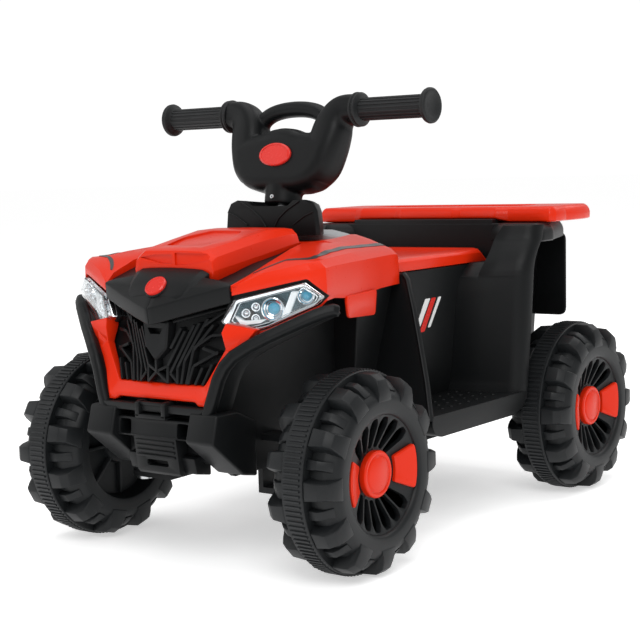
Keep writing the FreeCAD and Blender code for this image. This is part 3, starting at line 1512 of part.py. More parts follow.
# Accelerator pedal on the right footboard
pedal_pivot = V(-pedal_x, front_axle_y + pedal_setback, floor_top + pedal_pivot_height)
pedal_half = pedal_width / 2
barrel_base = pedal_pivot - V(pedal_half, 0, 0)
barrel = rod(barrel_base, x_axis, pedal_barrel_radius, pedal_width)
plate = block((-pedal_x - pedal_half, -pedal_x + pedal_half), (-pedal_length, 0), (0, pedal_thickness))
plate.rotate(V(-pedal_x, 0, 0), x_axis, -pedal_degrees)
plate.translate(V(0, pedal_pivot.y, pedal_pivot.z))
pedal_bore = rod(barrel_base, x_axis, pedal_pin_radius + running_fit, pedal_width)
save("accelerator_pedal", joined([barrel, plate]).cut(pedal_bore))
lug_gap = pedal_half + running_gap
lug_x_pair = (lug_gap, lug_gap + pedal_lug_width)
lug_y_pair = (pedal_pivot.y - pedal_lug_half_length, pedal_pivot.y + pedal_lug_half_length)
lug_z_pair = (floor_top, pedal_pivot.z + pedal_barrel_radius)
pedal_lugs = [block((-pedal_x + lug_x_pair[0], -pedal_x + lug_x_pair[1]), lug_y_pair, lug_z_pair),
              block((-pedal_x - lug_x_pair[1], -pedal_x - lug_x_pair[0]), lug_y_pair, lug_z_pair)]
pin_base = pedal_pivot - V(lug_x_pair[1], 0, 0)
pedal_pin = rod(pin_base, x_axis, pedal_pin_radius, 2 * lug_x_pair[1])
save("pedal_bracket", joined([pedal_pin] + pedal_lugs))

# Charging socket
flange = rod(V(socket_x, tub_rear_y, socket_height), y_axis, socket_flange_radius, socket_flange)
barrel_start = V(socket_x, tub_rear_y - socket_depth, socket_height)
socket_barrel = rod(barrel_start, y_axis, socket_radius, socket_depth)
socket_hole = rod(barrel_start + V(0, shell_wall, 0), y_axis, socket_bore, socket_depth + socket_flange)
save("charging_socket", joined([flange, socket_barrel]).cut(socket_hole))
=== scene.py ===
import bmesh
import bpy
import json
import math
from mathutils import Matrix, Vector
from mathutils.bvhtree import BVHTree


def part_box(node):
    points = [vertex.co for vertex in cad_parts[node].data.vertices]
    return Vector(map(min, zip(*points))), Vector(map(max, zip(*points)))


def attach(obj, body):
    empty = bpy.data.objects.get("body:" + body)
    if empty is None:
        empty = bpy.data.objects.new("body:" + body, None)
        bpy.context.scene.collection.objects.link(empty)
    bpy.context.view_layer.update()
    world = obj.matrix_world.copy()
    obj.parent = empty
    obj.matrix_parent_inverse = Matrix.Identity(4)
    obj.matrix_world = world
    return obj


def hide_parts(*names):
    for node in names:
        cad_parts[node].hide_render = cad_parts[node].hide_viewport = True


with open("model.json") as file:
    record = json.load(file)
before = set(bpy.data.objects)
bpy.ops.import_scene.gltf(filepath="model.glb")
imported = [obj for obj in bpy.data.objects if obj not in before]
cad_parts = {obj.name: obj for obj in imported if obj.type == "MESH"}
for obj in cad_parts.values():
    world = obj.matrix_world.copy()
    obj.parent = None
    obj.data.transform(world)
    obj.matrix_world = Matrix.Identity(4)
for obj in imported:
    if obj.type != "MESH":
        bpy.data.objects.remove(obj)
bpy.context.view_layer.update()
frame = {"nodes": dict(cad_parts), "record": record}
unit = 0.001  # plans are in millimetres
weld = 0.00002  # points nearer than this are one
corners = ["front_left", "front_right", "rear_left", "rear_right"]
print("stage: frame loaded")


def addObject(name, data):
    piece = bpy.data.objects.new(name, data)
    bpy.context.scene.collection.objects.link(piece)
    return piece


def reshape(piece, change):
    shape = bmesh.new()
    shape.from_mesh(piece.data)
    change(shape)
    shape.to_mesh(piece.data)
    shape.free()
    return piece


def weldShape(shape):
    bmesh.ops.remove_doubles(shape, verts=shape.verts, dist=weld)
    bmesh.ops.recalc_face_normals(shape, faces=shape.faces)


def newPiece(name, points, faces):
    mesh = bpy.data.meshes.new(name)
    mesh.from_pydata([Vector(spot) * unit for spot in points], [], faces)
    return reshape(addObject(name, mesh), weldShape)


def loft(name, rings, capped=True, ringClosed=True):
    count = len(rings[0])
    points = [spot for ring in rings for spot in ring]
    faces = []
    for row in range(len(rings) - 1):
        for n in range(count if ringClosed else count - 1):
            here = row * count + n
            beside = row * count + (n + 1) % count
            faces.append((here, beside, beside + count, here + count))
    if capped:
        faces += [tuple(range(count)), tuple(range(len(points) - count, len(points)))]
    return newPiece(name, points, faces)


def sheet(name, rows):
    return loft(name, rows, capped=False, ringClosed=False)


def slab(name, axis, outline, start, end):
    at = "xyz".index(axis)
    return loft(name, [[(*spot[:at], depth, *spot[at:]) for spot in outline] for depth in (start, end)])


def spin(name, profile, steps, loop=True):
    rings = []
    for step in range(steps + 1):
        turn = (step % steps) * 2 * math.pi / steps
        rings.append([(x, r * math.sin(turn), r * math.cos(turn)) for x, r in profile])
    return loft(name, rings, capped=False, ringClosed=loop)


def sweep(name, path, section, up):
    path = [Vector(spot) for spot in path]
    rings = []
    for n, spot in enumerate(path):
        along = (path[min(n + 1, len(path) - 1)] - path[max(n - 1, 0)]).normalized()
        side = along.cross(Vector(up)).normalized()
        lift = side.cross(along)
        rings.append([spot + side * a + lift * b for a, b in section])
    return loft(name, rings)


def bend(start, corner, end, steps):
    spots = []
    for step in range(steps + 1):
        t = step / steps
        spots.append(tuple(start * (1 - t) ** 2 + corner * (2 * t * (1 - t)) + end * t ** 2))
    return spots


def rounded(outline, radius, steps=4):
    spots = [Vector(spot) for spot in outline]
    reach = 0.45  # share of an edge that a corner may take
    result = []
    for n, here in enumerate(spots):
        before = spots[n - 1] - here
        after = spots[(n + 1) % len(spots)] - here
        start = here + before.normalized() * min(radius, before.length * reach)
        end = here + after.normalized() * min(radius, after.length * reach)
        result += bend(start, here, end, steps)
    return result


def circle(radiusA, radiusB, steps):
    turns = [n * 2 * math.pi / steps for n in range(steps)]
    return [(radiusA * math.cos(turn), radiusB * math.sin(turn)) for turn in turns]


def curved(spots, steps):
    spots = [Vector(spot) for spot in spots]
    result = []
    for n in range(len(spots) - 1):
        a, b = spots[max(n - 1, 0)], spots[n]
        c, d = spots[n + 1], spots[min(n + 2, len(spots) - 1)]
        for step in range(steps):
            t = step / steps
            swing = (a * 2 - b * 5 + c * 4 - d) * t ** 2 + (b * 3 - a - c * 3 + d) * t ** 3
            result.append(tuple((b * 2 + (c - a) * t + swing) * 0.5))
    return result + [tuple(spots[-1])]


def bothSides(half):
    return half + [(-x, other) for x, other in reversed(half) if x]


def onLine(value, start, end):
    return start[1] + (end[1] - start[1]) * (value - start[0]) / (end[0] - start[0])


def bake(piece):
    graph = bpy.context.evaluated_depsgraph_get()
    mesh = bpy.data.meshes.new_from_object(piece.evaluated_get(graph))
    piece.modifiers.clear()
    piece.data = mesh
    return piece


def modified(piece, kind, **settings):
    step = piece.modifiers.new(kind.lower(), kind)
    for key, value in settings.items():
        setattr(step, key, value)
    return bake(piece)


def soften(piece, width, segments=2, angle=28):
    return modified(piece, "BEVEL", width=width * unit, segments=segments, limit_method="ANGLE",
                    angle_limit=math.radians(angle))


def cut(piece, other):
    modified(piece, "BOOLEAN", operation="DIFFERENCE", solver="EXACT", object=other)
    bpy.data.objects.remove(other)
    return piece


def thicken(piece, depth):
    return modified(piece, "SOLIDIFY", thickness=depth * unit, offset=-1, use_even_offset=True)


def mirrorX(piece):
    return modified(piece, "MIRROR", merge_threshold=weld)


def melt(piece, voxel, rounds):
    modified(piece, "REMESH", mode="VOXEL", voxel_size=voxel * unit)
    return modified(piece, "SMOOTH", factor=0.5, iterations=rounds)


def join(name, parts):
    shape = bmesh.new()
    for part in parts:
        shape.from_mesh(part.data)
        bpy.data.objects.remove(part)
    mesh = bpy.data.meshes.new(name)
    shape.to_mesh(mesh)
    shape.free()
    return addObject(name, mesh)


def moved(piece, matrix):
    piece.data.transform(matrix)
    return piece


def shift(x, y, z):
    return Matrix.Translation(Vector((x, y, z)) * unit)


def boxOf(node):
    low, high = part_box(node)
    return low / unit, high / unit


def dress(piece, finish, body, nodes=(), sharp=32):
    piece.data.materials.clear()
    piece.data.materials.append(finishes[finish])
    piece.data.shade_smooth()
    piece.data.set_sharp_from_angle(angle=math.radians(sharp))
    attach(piece, body)
    if nodes:
        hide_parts(*nodes)


socketKinds = {"Geometry": "Geometry", "Finish": "Material", "Color": "Color", "Rows": "Int",
               "Columns": "Int", "Copies": "Int"}


def nodeTree(name, kind, inputs, outputs):
    tree = bpy.data.node_groups.new(name, kind)
    for side, titles in (("INPUT", inputs), ("OUTPUT", outputs)):
        for title in titles:
            socket = "NodeSocket" + socketKinds.get(title, "Float")
            tree.interface.new_socket(title, in_out=side, socket_type=socket)
    return tree, tree.nodes.new("NodeGroupInput"), tree.nodes.new("NodeGroupOutput")


def setInputs(node, values):
    for key, value in values.items():
        node.inputs[key].default_value = value


def addNode(tree, kind, values=None, **settings):
    node = tree.nodes.new(kind)
    for key, value in settings.items():
        setattr(node, key, value)
    setInputs(node, values or {})
    return node


def wire(tree, rows):
    for source, output, target, entry in rows:
        tree.links.new(source.outputs[output], target.inputs[entry])


def copiesTree(name, numbers):
    tree, entry, leave = nodeTree(name, "GeometryNodeTree", ["Geometry", *numbers, "Finish"], ["Geometry"])
    place = addNode(tree, "GeometryNodeInstanceOnPoints")
    real = addNode(tree, "GeometryNodeRealizeInstances")
    paint = addNode(tree, "GeometryNodeSetMaterial")
    wire(tree, [(entry, "Geometry", place, "Instance"), (place, "Instances", real, "Geometry"),
                (real, "Geometry", paint, "Geometry"), (entry, "Finish", paint, "Material"),
                (paint, "Geometry", leave, "Geometry")])
    return tree, entry, place


def ringCopies():
    tree, entry, place = copiesTree("ringCopies", ["Copies", "Start"])
    field = addNode(tree, "GeometryNodePoints")
    index = addNode(tree, "GeometryNodeInputIndex")
    share = addNode(tree, "ShaderNodeMath", operation="DIVIDE")
    turn = addNode(tree, "ShaderNodeMath", {1: 2 * math.pi}, operation="MULTIPLY_ADD")
    angles = addNode(tree, "ShaderNodeCombineXYZ")
    rotation = addNode(tree, "FunctionNodeEulerToRotation")
    wire(tree, [(entry, "Copies", field, "Count"), (index, "Index", share, 0), (entry, "Copies", share, 1),
                (share, 0, turn, 0), (entry, "Start", turn, 2), (turn, 0, angles, "X"),
                (angles, 0, rotation, 0), (rotation, 0, place, "Rotation"), (field, 0, place, "Points")])
    return tree


def gridCopies():
    tree, entry, place = copiesTree("gridCopies", ["Rows", "Columns", "Width", "Depth"])
    field = addNode(tree, "GeometryNodeMeshGrid")
    wire(tree, [(entry, "Width", field, "Size X"), (entry, "Depth", field, "Size Y"),
                (entry, "Columns", field, "Vertices X"), (entry, "Rows", field, "Vertices Y"),
                (field, "Mesh", place, "Points")])
    return tree


ringTree = ringCopies()
gridTree = gridCopies()


def spread(piece, tree, values):
    step = piece.modifiers.new("copies", "NODES")
    step.node_group = tree
    for item in tree.interface.items_tree:
        if item.in_out == "INPUT" and item.name in values:
            step[item.identifier] = values[item.name]
    return bake(piece)


def ringOf(piece, copies, finish, start=0.0):
    return spread(piece, ringTree, {"Copies": copies, "Start": start, "Finish": finishes[finish]})


print("stage: helpers ready")


def mouldedSkin():
    tree, entry, leave = nodeTree("mouldedSkin", "ShaderNodeTree",
                                  ["Color", "Fleck", "Grain", "Roughness", "Spread"],
                                  ["Color", "Roughness", "Height"])
    coords = addNode(tree, "ShaderNodeTexCoord")
    cloud = addNode(tree, "ShaderNodeTexNoise", {"Scale": 14, "Detail": 5})
    grain = addNode(tree, "ShaderNodeTexNoise", {"Detail": 3})
    tone = addNode(tree, "ShaderNodeMapRange", {"From Min": 0.3, "From Max": 0.7})
    amount = addNode(tree, "ShaderNodeMath", operation="MULTIPLY")
    dark = addNode(tree, "ShaderNodeMix", {"B": (0.35, 0.35, 0.35, 1)}, data_type="RGBA",
                   blend_type="MULTIPLY")
    centre = addNode(tree, "ShaderNodeMath", {1: 0.5}, operation="SUBTRACT")
    wear = addNode(tree, "ShaderNodeMath", operation="MULTIPLY_ADD")
    wire(tree, [(coords, "Object", cloud, "Vector"), (coords, "Object", grain, "Vector"),
                (entry, "Grain", grain, "Scale"), (cloud, "Fac", tone, "Value"),
                (tone, "Result", amount, 0), (entry, "Fleck", amount, 1), (amount, 0, dark, "Factor"),
                (entry, "Color", dark, "A"), (grain, "Fac", centre, 0), (centre, 0, wear, 0),
                (entry, "Spread", wear, 1), (entry, "Roughness", wear, 2),
                (dark, "Result", leave, "Color"), (wear, 0, leave, "Roughness"),
                (grain, "Fac", leave, "Height")])
    return tree


def rubbedEdges():
    tree, entry, leave = nodeTree("rubbedEdges", "ShaderNodeTree", ["Color", "Amount"], ["Color"])
    shape = addNode(tree, "ShaderNodeNewGeometry")
    edge = addNode(tree, "ShaderNodeMapRange", {"From Min": 0.52, "From Max": 0.66})
    coords = addNode(tree, "ShaderNodeTexCoord")
    patch = addNode(tree, "ShaderNodeTexNoise", {"Scale": 60})
    mask = addNode(tree, "ShaderNodeMath", operation="MULTIPLY")
    factor = addNode(tree, "ShaderNodeMath", operation="MULTIPLY")
    pale = addNode(tree, "ShaderNodeMix", {"B": (0.4, 0.4, 0.42, 1)}, data_type="RGBA")
    wire(tree, [(coords, "Object", patch, "Vector"), (shape, "Pointiness", edge, "Value"),
                (edge, "Result", mask, 0), (patch, "Fac", mask, 1), (mask, 0, factor, 0),
                (entry, "Amount", factor, 1), (factor, 0, pale, "Factor"), (entry, "Color", pale, "A"),
                (pale, "Result", leave, "Color")])
    return tree


skinTree = mouldedSkin()
edgeTree = rubbedEdges()
finishBase = {"fleck": 0.15, "grain": 900, "spread": 0.12, "edges": 0.1, "bump": 0.08, "metal": 0,
              "spec": 0.5, "coat": 0, "clear": 0, "ior": 1.5}


def finishOf(name, changes):
    plan = finishBase | changes
    finish = bpy.data.materials.new(name)
    finish.use_nodes = True
    tree = finish.node_tree
    shader = tree.nodes["Principled BSDF"]
    skin = addNode(tree, "ShaderNodeGroup", node_tree=skinTree)
    setInputs(skin, {"Color": (*plan["color"], 1), "Fleck": plan["fleck"], "Grain": plan["grain"],
                     "Roughness": plan["rough"], "Spread": plan["spread"]})
    edges = addNode(tree, "ShaderNodeGroup", {"Amount": plan["edges"]}, node_tree=edgeTree)
    bump = addNode(tree, "ShaderNodeBump", {"Strength": plan["bump"], "Distance": 0.0003})
    wire(tree, [(skin, "Color", edges, "Color"), (edges, "Color", shader, "Base Color"),
                (skin, "Roughness", shader, "Roughness"), (skin, "Height", bump, "Height"),
                (bump, "Normal", shader, "Normal")])
    setInputs(shader, {"Metallic": plan["metal"], "Specular IOR Level": plan["spec"],
                       "Coat Weight": plan["coat"], "Coat Roughness": 0.08,
                       "Transmission Weight": plan["clear"], "IOR": plan["ior"]})
    if "glow" in plan:
        setInputs(shader, {"Emission Color": (*plan["glow"], 1), "Emission Strength": plan["power"]})
    return finish


finishPlans = {
    "redGloss": {"color": (0.66, 0.022, 0.003), "rough": 0.3, "coat": 0.05, "spec": 0.16, "fleck": 0.04,
                 "grain": 260, "bump": 0.01, "edges": 0.0},
    "blackSatin": {"color": (0.0042, 0.0048, 0.0052), "rough": 0.42, "spec": 0.17, "fleck": 0.2,
                   "grain": 1400, "bump": 0.2, "edges": 0.03},
    "tyreBlack": {"color": (0.0056, 0.0068, 0.0076), "rough": 0.46, "spec": 0.26, "fleck": 0.25,
                  "grain": 1100, "bump": 0.2, "edges": 0.05},
    "gripRubber": {"color": (0.0062, 0.007, 0.0076), "rough": 0.52, "spec": 0.3, "fleck": 0.25,
                   "grain": 1800, "bump": 0.3, "edges": 0.05},
    "greySatin": {"color": (0.35, 0.36, 0.37), "rough": 0.34, "fleck": 0.1, "grain": 700, "edges": 0.05},
    "chrome": {"color": (0.80, 0.82, 0.84), "rough": 0.1, "metal": 1, "fleck": 0.08, "grain": 500,
               "bump": 0.02, "edges": 0},
    "clearLens": {"color": (0.95, 0.97, 0.98), "rough": 0.03, "clear": 1, "ior": 1.42, "fleck": 0.02,
                  "grain": 300, "bump": 0.01, "spread": 0.03, "edges": 0},
    "smokedChrome": {"color": (0.05, 0.085, 0.1), "rough": 0.2, "metal": 1, "fleck": 0.1, "grain": 500,
                     "bump": 0.02, "edges": 0},
    "lampGlow": {"color": (0.03, 0.3, 0.47), "rough": 0.1, "coat": 0.6, "glow": (0.03, 0.36, 0.53),
                 "power": 0.28, "fleck": 0.1, "bump": 0.02},
    # white lamp bars with a painted glow standing in for their bright reflections
    "lampWhitePaintedGlow": {"color": (0.85, 0.86, 0.86), "rough": 0.25, "coat": 0.3, "glow": (0.8, 0.86, 0.9),
                  "power": 0.4, "fleck": 0.04, "bump": 0.02},
    "badgeRed": {"color": (0.62, 0.016, 0.008), "rough": 0.26, "coat": 0.12, "spec": 0.3, "fleck": 0.08,
                 "grain": 300, "bump": 0.02},
    "steel": {"color": (0.52, 0.53, 0.54), "rough": 0.3, "metal": 1, "fleck": 0.25, "grain": 600},
    "batteryCase": {"color": (0.03, 0.035, 0.05), "rough": 0.4, "fleck": 0.2},
    "strapWeb": {"color": (0.02, 0.02, 0.022), "rough": 0.8, "fleck": 0.3, "grain": 2400, "bump": 0.5},
    "gearPlastic": {"color": (0.75, 0.73, 0.66), "rough": 0.4, "fleck": 0.1, "grain": 800},
    "buttonPlastic": {"color": (0.55, 0.05, 0.04), "rough": 0.35, "coat": 0.2, "fleck": 0.1, "grain": 700},
    # painted shade: dark finish for the strip that stands in for the shadow in the groove along the fender
    # ridge
    "paintedGrooveShade": {"color": (0.04, 0.04, 0.042), "rough": 0.32, "coat": 0.2, "spec": 0.3, "fleck": 0.1,
                   "grain": 500, "bump": 0.03},
    "stripeWhite": {"color": (0.78, 0.78, 0.77), "rough": 0.3, "coat": 0.3, "fleck": 0.06, "grain": 400,
                    "bump": 0.03},
}
finishes = {name: finishOf(name, plan) for name, plan in finishPlans.items()}
slotFinish = {"red_plastic": "redGloss", "black_plastic": "blackSatin", "wheel_plastic": "tyreBlack",
              "grey_panel": "greySatin", "clear_lens": "clearLens", "bright_reflector": "chrome",
              "lamp": "lampGlow", "grip_rubber": "gripRubber", "badge_red": "badgeRed", "steel": "steel",
              "battery_case": "batteryCase", "strap_web": "strapWeb", "gear_plastic": "gearPlastic",
              "button_plastic": "buttonPlastic"}
print("stage: finishes ready")

treadLine = [(0, 98.6), (11.4, 98.6), (12.2, 97.6), (12.6, 86.8), (24, 86.4), (27, 85.4), (34.4, 79.4),
             (36.8, 76.6), (38.2, 73.6), (38.4, 70), (38.2, 62), (37.2, 59.2)]
wheelPlan = {  # profiles run along the axle (x) and outwards (radius)
    "tyre": treadLine + [(35.6, 57.8), (33.6, 57), (29, 57), (29, 61), (33.6, 64), (33.6, 72), (24, 81),
                         (0, 82)],
    "dish": [(34.2, 58.2), (22.4, 26.5), (22.4, 12), (17, 12), (17, 28), (28.6, 58.2)],
    "back": treadLine + [(34, 57.4), (20, 55), (19, 52), (19, 22), (24, 20), (24, 9), (15, 9), (15, 54),
                         (24, 60), (33.6, 66), (33.6, 72), (24, 81), (0, 82)],
    "steps": 144,
    "petals": 6, "petalPitch": 18.6, "petalX": (8, 40),  # petal corners are (radius, degrees)
    "petal": [(25.4, -6.6), (48.6, -8.2), (55.6, -4.1), (55.6, 4.1), (48.6, 8.2), (25.4, 6.6)],
    "ribs": 120, "ribX": (-9, 9), "rib": [(-1.3, 98), (1.3, 98), (0.936, 99.9), (-0.936, 99.9)],
    "webs": 8, "webX": (-24, -17), "web": [(-1.6, 20), (1.6, 20), (1.6, 55), (-1.6, 55)],
    "lugs": 12,  # lug corners are (x, radius, width)
    "bigLug": [(11.8, 85, 22), (11.8, 96, 18.5), (13.4, 97.6, 17.5), (28, 96.8, 15), (35.4, 91.5, 14),
               (37.6, 85, 15.5), (39, 79, 19), (39, 71.5, 22), (37.5, 70, 22), (30, 80, 21)],
    "smallLug": [(11.8, 85, 12), (11.8, 92.6, 10), (22, 92, 8.6), (27.4, 88.4, 8.4), (34.4, 81, 10),
                 (31, 80, 10)],
    "cap": [(21, 0), (21, 22.6), (27.4, 23), (28.6, 22.6), (29.2, 21.6), (29.2, 19.2), (28.4, 18.6),
            (28.4, 17.6), (29.8, 16.6), (30.0, 0)],
    "wingInner": 31.5, "wingOuter": 55.4, "wingHalf": 23.5, "wingLayers": [(-1, 0), (3, 0), (4.2, 1.4)],
}


def polar(radius, degrees):
    turn = math.radians(degrees)
    return radius * math.sin(turn), radius * math.cos(turn)


def lugPiece(name):
    rings = [[(x, side * width, r) for x, r, width in wheelPlan[name]] for side in (-0.5, 0.5)]
    return soften(loft(name, rings), 0.9, 2, 20)


def wheelMeshes(plan):
    tyre, dish, back = [spin(name, plan[name], plan["steps"]) for name in ("tyre", "dish", "back")]
    petals = []
    for fan in (0, 180):
        for n in range(plan["petals"]):
            middle = fan + (n - (plan["petals"] - 1) / 2) * plan["petalPitch"]
            outline = rounded([polar(r, middle + turn) for r, turn in plan["petal"]], 2.4, 3)
            petals.append(slab("petal", "x", outline, *plan["petalX"]))
    dish = soften(cut(dish, join("petalCut", petals)), 0.7, 2, 35)
    ribs = ringOf(slab("rib", "x", rounded(plan["rib"], 0.6, 2), *plan["ribX"]), plan["ribs"], "tyreBlack")
    step = math.pi / plan["lugs"]
    lugs = join("lugs", [ringOf(lugPiece("bigLug"), plan["lugs"], "tyreBlack"),
                         ringOf(lugPiece("smallLug"), plan["lugs"], "tyreBlack", step)])
    innerLugs = addObject("innerLugs", lugs.data.copy())
    flip = Matrix.Scale(-1, 4, (1, 0, 0))
    turned = Matrix.Rotation(step, 4, "X") @ flip
    for part, place in ((innerLugs, turned), (back, flip)):
        moved(part, place)
        part.data.flip_normals()
    webs = ringOf(soften(slab("web", "x", plan["web"], *plan["webX"]), 0.6), plan["webs"], "tyreBlack")
    return join("wheel", [tyre, dish, ribs, lugs, innerLugs, back, webs])


def trimMeshes(plan):
    parts = [soften(spin("cap", plan["cap"], 96, False), 0.3, 1, 40)]
    half, inner, outer = plan["wingHalf"], plan["wingInner"], plan["wingOuter"]
    (faceX, faceRadius), (hubX, hubRadius) = plan["dish"][:2]
    for fan in (90, 270):
        arc = [polar(outer, fan - half + n * half / 4) for n in range(9)]
        foot = [polar(inner, fan + half - n * half / 2) for n in range(5)]
        middle = Vector(polar((inner + outer) / 2, fan))
        rings = []
        for lift, inset in plan["wingLayers"]:
            ring = []
            for y, z in rounded(arc + foot, 2.2, 3):
                slope = onLine(math.hypot(y, z), (hubRadius, hubX), (faceRadius, faceX))
                near = Vector((y, z)) + (middle - Vector((y, z))).normalized() * inset
                ring.append((slope + lift, near.x, near.y))
            rings.append(ring)
        parts.append(loft("wing", rings))
    return join("trim", parts)


wheelMaster = wheelMeshes(wheelPlan)
trimMaster = trimMeshes(wheelPlan)
for corner in corners:
    low, high = boxOf(corner + "_wheel_outer")
    left = corner.endswith("left")
    place = shift(low.x if left else high.x, (low.y + high.y) / 2, (low.z + high.z) / 2)
    if not left:
        place = place @ Matrix.Rotation(math.pi, 4, "Z")
    body = corner + "_wheel"
    wheel = moved(addObject(corner + "Wheel", wheelMaster.data.copy()), place)
    dress(wheel, "tyreBlack", body, [body + "_outer", body + "_inner"])
    trim = moved(addObject(corner + "Trim", trimMaster.data.copy()), place)
    dress(trim, "redGloss", body, [corner + "_hub_trim"])
for master in (wheelMaster, trimMaster):
    bpy.data.objects.remove(master)
print("stage: wheels ready")

coverPlan = {
    "wall": 3.0,
    "fender": [  # y, then (x, z) from the lower edge over the shoulder to the hood opening
        (-290.5, [(82, 222), (82.4, 262), (83, 277), (83, 281.5), (82.6, 283.4), (82, 283.6), (81.4, 278)]),
        (-274, [(112.5, 238), (113.5, 270), (113.5, 287), (109.5, 294.6), (101, 294.4), (89, 291.5),
                (88.5, 282)]),
        (-253.5, [(150, 253), (151.5, 279), (151, 296), (145, 303), (119, 304.6), (90, 298.6),
                  (89.4, 288)]),
        (-242, [(159.6, 267), (160, 280), (159, 298), (151.5, 305), (119, 307.8), (90.5, 302.6),
                (89.9, 291)]),
        (-224, [(155.2, 268), (155.6, 279), (154.4, 298.4), (147, 305.6), (113, 311), (87.5, 306.6),
                (87, 294)]),
        (-190, [(146.2, 264.6), (146.5, 279), (145.5, 298.6), (137, 306.2), (107, 313.8), (76, 312),
                (75.4, 298)]),
        (-157, [(137.6, 263.8), (138.1, 280), (137.1, 298.6), (127.4, 306.5), (97, 315.6), (65.4, 315.4),
                (65, 302)]),
        (-135, [(132, 264), (132.5, 280), (131.5, 298.6), (121, 306.8), (90, 315.4), (62, 315.6),
                (62, 302)])],
    "tank": [
        (-135, [(132, 264), (132.5, 280), (131.5, 298.6), (121, 306.8), (90, 315.4), (80, 316.6),
                (62, 315.6), (28, 315), (0, 315)]),
        (-100, [(122.8, 266), (123, 281), (122, 298.5), (113.4, 305.8), (85.2, 314.6), (70, 318),
                (54, 315.4), (24, 314.5), (0, 314.5)]),
        (-60, [(112.5, 266), (112.6, 282), (111.6, 298.4), (104.5, 304.6), (77, 314.6), (58.6, 319.6),
               (48, 316), (20, 314.5), (0, 314.5)]),
        (-48, [(110.6, 266), (110.6, 282), (109.8, 297.6), (102.6, 303.6), (75, 313.8), (56.6, 318.8),
               (47, 315.4), (20, 314.2), (0, 314.2)]),
        (-44.4, [(109.4, 266), (109.4, 280), (108.6, 294), (101, 300), (73, 310), (55, 314.6), (46, 312),
                 (20, 311), (0, 311)]),
        (-44, [(109, 266), (109, 271), (108, 277), (101, 277), (72, 277), (55, 277), (44, 277), (20, 277),
               (0, 277)])],
    "tab": [(-197, 267), (-193, 245), (-123, 241), (-117, 267)],
    "tabFace": [(-197, 148), (-118, 129)],  # (y, x) along the flank
    "tabDepth": (-1.4, 2), "lightGrow": 0.6, "lightCut": (14, -26),
}
lightPlan = {
    "start": (82, -290), "end": (160, -248), "bottom": 239, "top": 289,
    "outline": [(-0.125, 0.19), (0.096, -0.04), (0.37, 0.06), (0.94, 0.50), (1.02, 0.65), (0.81, 0.93),
                (0.03, 0.62)],
    "rim": [(-0.036, 0.19), (0.107, 0.035), (0.37, 0.125), (0.92, 0.555), (0.955, 0.655), (0.79, 0.85),
            (0.06, 0.55)],
    "gap": [(-0.132, 0.19), (0.096, -0.05), (0.37, 0.05), (0.95, 0.485), (1.045, 0.65), (0.825, 0.985),
            (0.0, 0.69)],
    "middle": (0.46, 0.45), "depth": 22, "floor": 13,
    "bowls": [(0.436, 0.416, 10.7), (0.80, 0.66, 7.8)],  # share, rise, radius
    "bowl": [(0, 0.5), (2.8, 0.54), (3.4, 0.66), (5.4, 0.72), (6.2, 0.86), (8, 0.94), (7.6, 1.06),
             (0, 1.06)],
    "bulb": [(0.4, 0), (0.4, 0.5), (3, 0.5), (4.4, 0.42), (5.4, 0.28), (5.9, 0.12), (6, 0)],
    "lens": [(-9.4, 4.2), (-5.7, 3.8), (-3, 3), (-1.8, 1.6), (-1.6, 0), (-0.4, 0), (-0.5, 1.6), (-1.2, 3),
             (-2.8, 4.2), (-5.5, 5), (-9, 5.4)],
    "domes": [(0.133, 0.34, 3.4), (0.243, 0.456, 3.4), (0.238, 0.235, 3.4)],
    "cup": [(-2, 0.75), (1, 0.8), (2.4, 1), (2.4, 1.25), (1.8, 1.3), (-2, 1.3)],
    "bead": [(-2, 0), (-2, 0.7), (0.4, 0.66), (1.4, 0.4), (1.8, 0)],
    "bar": [(0.526, 0.234), (0.598, 0.259), (0.718, 0.747), (0.646, 0.749)],
    "sill": [(0.02, 0.30), (0.09, 0.12), (0.30, 0.16), (0.36, 0.22), (0.12, 0.20)],
}
lightStart = Vector((*lightPlan["start"], 0))
lightRun = Vector((*lightPlan["end"], 0)) - lightStart
lightOut = lightRun.normalized().cross(Vector((0, 0, 1)))
lightHeight = lightPlan["top"] - lightPlan["bottom"]


def onLight(share, rise, depth):
    spot = lightStart + lightRun * share + lightOut * depth
    return Vector((spot.x, spot.y, lightPlan["bottom"] + lightHeight * rise))


def lightOutline(key, grow=0):
    middleShare, middleRise = lightPlan["middle"]
    spots = []
    for share, rise in lightPlan[key]:
        away = Vector(((share - middleShare) * lightRun.length, (rise - middleRise) * lightHeight))
        away *= 1 + grow / away.length
        spots.append((middleShare + away.x / lightRun.length, middleRise + away.y / lightHeight))
    return rounded(spots, 0.03, 4)


def lightPrism(name, outline, near, far):
    return loft(name, [[onLight(a, b, depth) for a, b in outline] for depth in (near, far)])


def upright(shape):
    top = max(shape.faces, key=lambda face: face.calc_center_median().z)
    if top.normal.z < 0:
        bmesh.ops.reverse_faces(shape, faces=shape.faces)


def triangulate(shape):
    bmesh.ops.triangulate(shape, faces=shape.faces)


def coverShell(plan):
    halves = []
    for part in ("fender", "tank"):
        halves.append(sheet(part, [[(x, y, z) for x, z in section] for y, section in plan[part]]))
    shell = reshape(reshape(join("cover", halves), weldShape), upright)
    window = lightPrism("lightCut", lightOutline("gap", plan["lightGrow"]), *plan["lightCut"])
    shell = soften(cut(thicken(shell, plan["wall"]), window), 1.6, 3, 24)
    outline = rounded(plan["tab"], 5, 3)
    rings = [[(onLine(y, *plan["tabFace"]) + depth, y, z) for y, z in outline]
             for depth in plan["tabDepth"]]
    return mirrorX(join("coverHalf", [shell, soften(loft("tab", rings), 1.2, 2)]))


frameSpan = [(168, -315), (246, -290)]  # z and y of the face at its foot and its top


def frameY(z):
    return onLine(z, *frameSpan)


